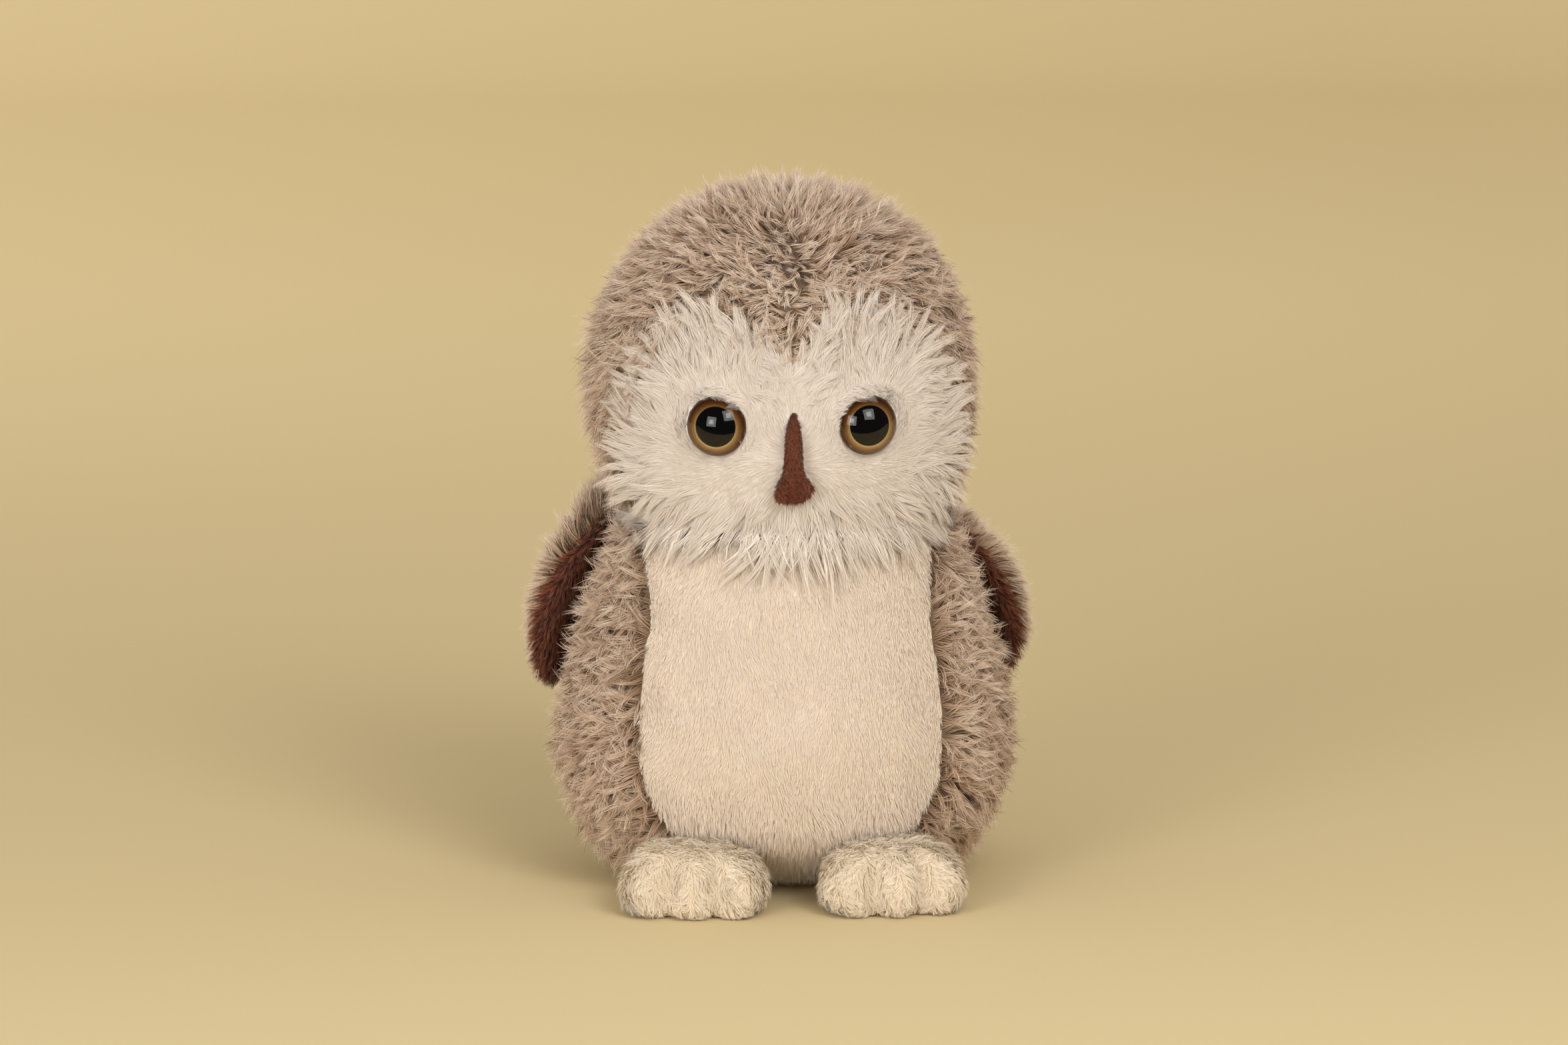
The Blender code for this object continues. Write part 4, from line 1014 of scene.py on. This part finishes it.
# %% Cream belly
rng = np.random.default_rng(41)
roots, normals = scatter(torso_cover, 0.8 * MM, rng)
owner = owners_of(roots, TORSO_PANELS)
keep = ((owner == 2) | ((owner == 3) & (roots[:, 1] < -20 * MM))) & (roots[:, 2] > 5 * MM)
keep &= (roots[:, 2] < NECK_Z) & (normals[:, 2] < 0.9)
roots, normals = roots[keep], normals[keep]
down = along_surface(np.tile([0.0, 0.0, -1.0], (len(roots), 1)), normals)
hang = share(-2.2 * normals[:, 2] - 0.2)
for side, sign in SIDES:
    pick = side_of(roots) == sign
    grow(
        f"belly_pile_{side}", "torso", "cream_plush", CREAM_PILE,
        roots[pick], normals[pick], down[pick], rng,
        length=(3.0 + 2.0 * hang[pick]) * MM, lean=np.radians(36 + 30 * hang[pick]),
        tip_lean=np.radians(10 + 35 * hang[pick]), droop=0.5, fibres=6, swirl=0.35,
        bright=(0, -0.5, 0.2), thickness=0.2 * MM, lock_radius=0.8 * MM, pinch=0.2, rows=3,
        curl=0.3, wander=0.2, lift=0.12, stray=0.2,
    )

# %% [markdown]
# ## Feet and wings
# The feet have a pile like the belly's, which lies in small soft tufts that turn this way and
# that. The wings have long grey pile outside, which fringes their edges, and short brown velboa
# pile inside.

# %% Feet
for side, _ in SIDES:
    rng = np.random.default_rng(53 if side == "left" else 59)
    roots, normals = scatter(foot_covers[side], 0.8 * MM, rng)
    keep = (roots[:, 2] > 1.5 * MM) & (distance_to(roots, TORSO_PANELS) > 1.5 * MM)
    roots, normals = roots[keep], normals[keep]
    swirl = 1.0 * drift(roots, 8 * MM, rng)
    combs = np.stack([np.sin(swirl), -0.6 * np.ones(len(roots)), -0.7 * np.cos(swirl)], axis=1)
    # Every lock of the feet takes the palest cream tone: painted light that brightens them past the belly.
    grow(
        f"foot_pile_{side}", "torso", "cream_plush", CREAM_PILE,
        roots, normals, along_surface(combs, normals), rng,
        length=4.0 * MM, lean=math.radians(38), tip_lean=math.radians(10), fibres=8, uneven=0.8,
        thickness=0.2 * MM, lock_radius=0.9 * MM, pinch=0.3, rows=3, curl=0.6, wander=0.4, stray=0.2,
        bright=(0, -0.45, 0.45), relief=0.15, swirl=0.3, shade=np.full(len(roots), 0.999),
    )

# %% Wings
RISE = {"left": 0.2, "right": 1.0}     # how far the pile at each shoulder stands up
for side, sign in SIDES:
    joint = next(joint for joint in frame["joints"] if joint["child"] == f"wing_{side}")
    hinge = np.array(joint["pos_m"])
    cover = wing_covers[side]
    points = coordinates(cover.data)
    tip = points[np.argmax(np.linalg.norm(points - hinge, axis=1))]
    down = unit(tip - hinge)
    ahead = np.array(joint["axis"]) * (1.0 if joint["axis"][1] < 0 else -1.0)
    outward = unit(np.cross(down, ahead))
    outward *= math.copysign(1.0, outward[0] * sign)
    rng = np.random.default_rng(67 if side == "left" else 71)
    roots, normals = scatter(cover, 1.3 * MM, rng)
    lining = owners_of(roots, [f"wing_outer_{side}", f"wing_lining_{side}"]) == 1
    lining |= (normals @ ahead > 0.25) & (normals @ outward < 0.65)
    along = (roots - hinge) @ down / (62 * MM)
    across = (roots - hinge) @ ahead / (23 * MM)
    root = share(1 - along / 0.42) * RISE[side]
    upper = share(1.25 - 1.6 * along)
    edge = share((across - 0.2) / 0.6)
    combs = along_surface(
        down * (0.8 - 1.7 * root - 0.5 * upper * edge)[:, None] + ahead * (0.5 * across)[:, None]
        + outward * (0.3 + 0.9 * root)[:, None], normals
    )
    length = (7.5 + 4.5 * np.maximum(root, upper * edge) + 6.5 * root) * MM
    stand = np.radians(44 + 26 * np.maximum(root, upper * edge))
    outer = ~lining
    grow(
        f"wing_pile_{side}", f"wing_{side}", "grey_brown_plush", GREY_PILE,
        roots[outer], normals[outer], combs[outer], rng,
        length=length[outer], lean=stand[outer], tip_lean=0.6 * stand[outer], bright=(0, -0.8, 0.2),
    )
    combs = along_surface(
        down[None, :] + ahead * (0.35 * across)[:, None] + outward * (0.9 * edge)[:, None], normals
    )
    grow(
        f"wing_lining_pile_{side}", f"wing_{side}", "brown_velboa", BROWN_PILE,
        roots[lining], normals[lining], combs[lining], rng,
        length=5.5 * MM, lean=math.radians(38), tip_lean=math.radians(8), bright=(0, -0.7, 0.1),
        thickness=0.26 * MM, pinch=0.75, wander=0.25, curl=0.4, swirl=0.3,
    )

# %% [markdown]
# ## Eyes
# A safety eye is one black moulding with a painted disc under a clear dome. The dome magnifies the
# disc and gathers light into its lower edge, so the gold looks brightest there; here that light is
# painted into the disc, lighter low and darker high.

# %% Eye pieces
def lathe(name, profile, steps, place):
    """A turned piece on local Z, in its place. Its profile runs from the axis down the outside."""
    mesh = bpy.data.meshes.new(name)
    mesh.from_pydata(
        [(radius, 0.0, height) for radius, height in profile],
        [(i, i + 1) for i in range(len(profile) - 1)], [],
    )
    piece = new_object(name, mesh)
    screw = piece.modifiers.new("Turn", "SCREW")
    screw.steps = steps
    screw.render_steps = steps
    screw.use_merge_vertices = True
    screw.merge_threshold = 0.00001
    settle(piece)
    piece.data.transform(place)
    piece.data.shade_smooth()
    piece.data.set_sharp_from_angle(angle=math.radians(35))
    return piece


EYE_RADIUS = 10 * MM
IRIS_RADIUS = 9.7 * MM
DOME_HEIGHT = 5.5 * MM
LENS_EDGE = 0.8 * MM
DISC_TOP = 0.25 * MM           # the painted disc reaches this far into the dome's foot
DISC_THICKNESS = 0.6 * MM
EYE_TURN = math.radians(17)


def painted_iris():
    """Metallic gold paint round a black pupil, brown at the rim, with painted light: lighter low, darker high."""
    material, tree, shader = new_material("gold_and_black_paint", 0.5, Specular_IOR_Level=0.0)
    where = add_node(tree, "ShaderNodeUVMap", uv_map="disc")
    centre = add_node(
        tree, "ShaderNodeVectorMath", {0: where.outputs["UV"], 1: (0.5, 0.5, 0.0)},
        operation="DISTANCE",
    )
    ring = add_node(tree, "ShaderNodeValToRGB", {"Fac": centre.outputs["Value"]})
    ring.color_ramp.interpolation = "LINEAR"
    set_stops(ring, [
        (0.0, "#010101"), (0.300, "#010101"), (0.309, "#ffe2a2"), (0.335, "#e2b26a"),
        (0.380, "#b67f44"), (0.430, "#8c5a2c"), (0.500, "#663a1a"),
    ])
    # Painted light: the disc is multiplied lighter at its foot and darker at its top.
    parts = add_node(tree, "ShaderNodeSeparateXYZ", {"Vector": where.outputs["UV"]})
    height = add_node(tree, "ShaderNodeValToRGB", {"Fac": parts.outputs["Y"]})
    set_stops(height, [(0.15, "#ffffff"), (0.85, "#987a5c")])
    shaded = multiplied(tree, ring.outputs["Color"], height.outputs["Color"])
    tree.links.new(shaded, shader.inputs["Base Color"])
    return material


IRIS_PAINT = painted_iris()
CLEAR_ACRYLIC = new_material(
    "clear_acrylic", 0.02, Base_Color=(1.0, 1.0, 1.0, 1.0), Transmission_Weight=1.0, IOR=1.49
)[0]
BLACK_PLASTIC = new_material("moulded_black_plastic", 0.35, Base_Color=linear("#141210"))[0]
WHITE_PLASTIC = new_material("moulded_white_plastic", 0.45, Base_Color=linear("#e8e6e0"))[0]

for side, sign in SIDES:
    look = Vector((sign * math.sin(EYE_TURN), -math.cos(EYE_TURN), 0.0))
    mesh = NODES[f"eye_lens_{side}"].data
    depth = min(Vector(vertex.co).dot(look) for vertex in mesh.vertices)
    middle = EYES[side]
    centre = middle + look * (depth - middle.dot(look))
    place = Matrix.Translation(centre) @ look.to_track_quat("Z", "Y").to_matrix().to_4x4()
    cap_radius = (EYE_RADIUS ** 2 + DOME_HEIGHT ** 2) / (2 * DOME_HEIGHT)
    reach = math.asin(EYE_RADIUS / cap_radius)
    profile = [
        (cap_radius * math.sin(turn), LENS_EDGE + DOME_HEIGHT - cap_radius * (1 - math.cos(turn)))
        for turn in (reach * step / 16 for step in range(17))
    ]
    profile[0] = (0.0, profile[0][1])
    profile += [(EYE_RADIUS, 0.0), (0.0, 0.0)]
    lens = lathe(f"eye_dome_{side}", profile, 64, place)
    lens.data.materials.append(CLEAR_ACRYLIC)
    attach(lens, "head")
    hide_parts(f"eye_lens_{side}")
    profile = [(part * IRIS_RADIUS, DISC_TOP) for part in (0.0, 0.5, 1.0)]
    profile += [(part * IRIS_RADIUS, DISC_TOP - DISC_THICKNESS) for part in (1.0, 0.0)]
    iris = lathe(f"eye_disc_{side}", profile, 64, place)
    disc_map = iris.data.uv_layers.new(name="disc")
    flat = place.inverted()
    for loop in iris.data.loops:
        spot = flat @ iris.data.vertices[loop.vertex_index].co
        disc_map.data[loop.index].uv = [0.5 + along / (2 * IRIS_RADIUS) for along in spot.xy]
    iris.data.materials.append(IRIS_PAINT)
    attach(iris, "head")
    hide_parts(f"eye_iris_{side}")
    NODES[f"eye_post_{side}"].data.materials[0] = BLACK_PLASTIC
    NODES[f"eye_washer_{side}"].data.materials[0] = WHITE_PLASTIC
print("eyes at", [tuple(round(c, 4) for c in place) for place in EYES.values()])

# %% [markdown]
# ## Beak
# The beak is a strip of brown velboa, folded lengthwise and stitched into the face's middle seam
# at its top. The raw edge at its tip spreads and frays.

# %% Beak
head_skin = BVHTree.FromObject(head_cover, bpy.context.evaluated_depsgraph_get())
beak_low, beak_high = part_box("beak")
BEAK_RINGS = (        # drop below the top, half width, half depth, stand-off, shift to the left, dent
    (0.0, 0.3, 0.4, 0.0, 0.1, 0.2), (2.4, 1.3, 1.1, 0.6, 0.0, 0.4), (5.0, 2.3, 1.8, 1.5, 0.0, 0.5),
    (10.5, 2.6, 2.2, 2.0, 0.1, 0.5), (16.0, 2.9, 2.4, 2.5, 0.1, 0.5), (20.0, 3.2, 2.3, 2.8, 0.2, 0.6),
    (22.6, 4.6, 2.3, 3.2, 0.1, 0.9), (25.2, 6.5, 2.4, 3.6, 0.5, 1.3), (27.2, 6.2, 2.2, 3.7, 0.1, 1.3),
    (28.8, 5.2, 1.6, 3.5, -0.9, 0.9), (30.0, 2.8, 0.9, 3.2, -1.1, 0.3),
)
BEAK_COLUMNS = 16


def make_beak():
    """The folded strip, lofted ring by ring down the face, with its flared tip."""
    rng = np.random.default_rng(79)
    rows = []
    for drop, half_width, half_depth, stand, shift, dent in BEAK_RINGS:
        z = beak_high.z + 0.6 * MM - drop * MM
        skin = head_skin.ray_cast(Vector((0.0, -0.2, z)), Vector((0.0, 1.0, 0.0)))[0]
        y = skin.y - (stand + 0.4 * half_depth) * MM
        ring = []
        for column in range(BEAK_COLUMNS):
            turn = 2 * math.pi * column / BEAK_COLUMNS
            rough = 1 + 0.16 * (rng.random() - 0.5)
            across = half_width * math.cos(turn) * rough
            fold = dent * half_depth * math.exp(-(2.4 * across / half_width) ** 2)
            fold *= math.sin(turn) < 0
            wavy = 0.35 * half_width / 6 * math.sin(2.3 * turn + drop)
            deep = half_depth * math.sin(turn) * rough + fold
            ring.append(((across + shift) * MM, y + deep * MM, z + wavy * MM))
        rows.append(ring)
    mesh = bpy.data.meshes.new("beak_cover")
    points = [point for ring in rows for point in ring]
    faces = [face for _, face in tube_faces(len(rows), BEAK_COLUMNS)]
    faces.append(tuple(range(BEAK_COLUMNS))[::-1])
    faces.append(tuple(len(points) - BEAK_COLUMNS + c for c in range(BEAK_COLUMNS)))
    mesh.from_pydata(points, [], faces)
    shaped = bmesh.new()
    shaped.from_mesh(mesh)
    bmesh.ops.recalc_face_normals(shaped, faces=shaped.faces)
    shaped.to_mesh(mesh)
    shaped.free()
    cover = new_object("beak_cover", mesh)
    finish_cover(cover)
    finish_cover(cover)
    return cover


beak_cover = make_beak()
beak_cover.data.materials.append(BROWN_BACKING)
rng = np.random.default_rng(83)
roots, normals = scatter(beak_cover, 0.55 * MM, rng)
keep = normals[:, 1] < 0.6
roots, normals = roots[keep], normals[keep]
down = along_surface(np.tile([0.0, 0.0, -1.0], (len(roots), 1)), normals)
frayed = share((beak_low.z + 8 * MM - roots[:, 2]) / (8 * MM))
# hollow and top mark painted shade: the pile is darker in the fold's opening at the tip and where it enters the face.
hollow = frayed * np.exp(-((roots[:, 0] - 0.3 * MM) / (2.6 * MM)) ** 2)
top = share((roots[:, 2] - beak_high.z + 3 * MM) / (3 * MM))
shade = share(0.5 + 0.25 * drift(roots, 2.5 * MM, rng) - 0.4 * top - 0.6 * hollow)
grow(
    "beak_pile", "head", "brown_velboa", BROWN_PILE, roots, normals, down, rng,
    length=(1.5 + 0.9 * frayed) * MM, lean=math.radians(44), tip_lean=math.radians(14), fibres=8,
    thickness=0.13 * MM, lock_radius=0.5 * MM, pinch=0.5, rows=3, wander=0.7, curl=1.0, shade=shade,
)

# %% Riding and replacing the covers
for cover, body, nodes, slot, fill in (
    (torso_cover, "torso", [*TORSO_PANELS, "torso_filling", "pellet_bag"], "grey_brown_plush", 0.8),
    (head_cover, "head", [*HEAD_PANELS, "head_filling"], "grey_brown_plush", 0.85),
    (beak_cover, "head", ["beak"], "brown_velboa", 0.5),
    *(
        (foot_covers[side], "torso",
         [f"foot_upper_{side}", f"foot_sole_{side}", f"foot_filling_{side}"], "cream_plush", 0.7)
        for side, _ in SIDES
    ),
    *(
        (wing_covers[side], f"wing_{side}",
         [f"wing_outer_{side}", f"wing_lining_{side}", f"wing_wadding_{side}"],
         "grey_brown_plush", 0.4)
        for side, _ in SIDES
    ),
):
    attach(cover, body)
    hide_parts(*nodes)
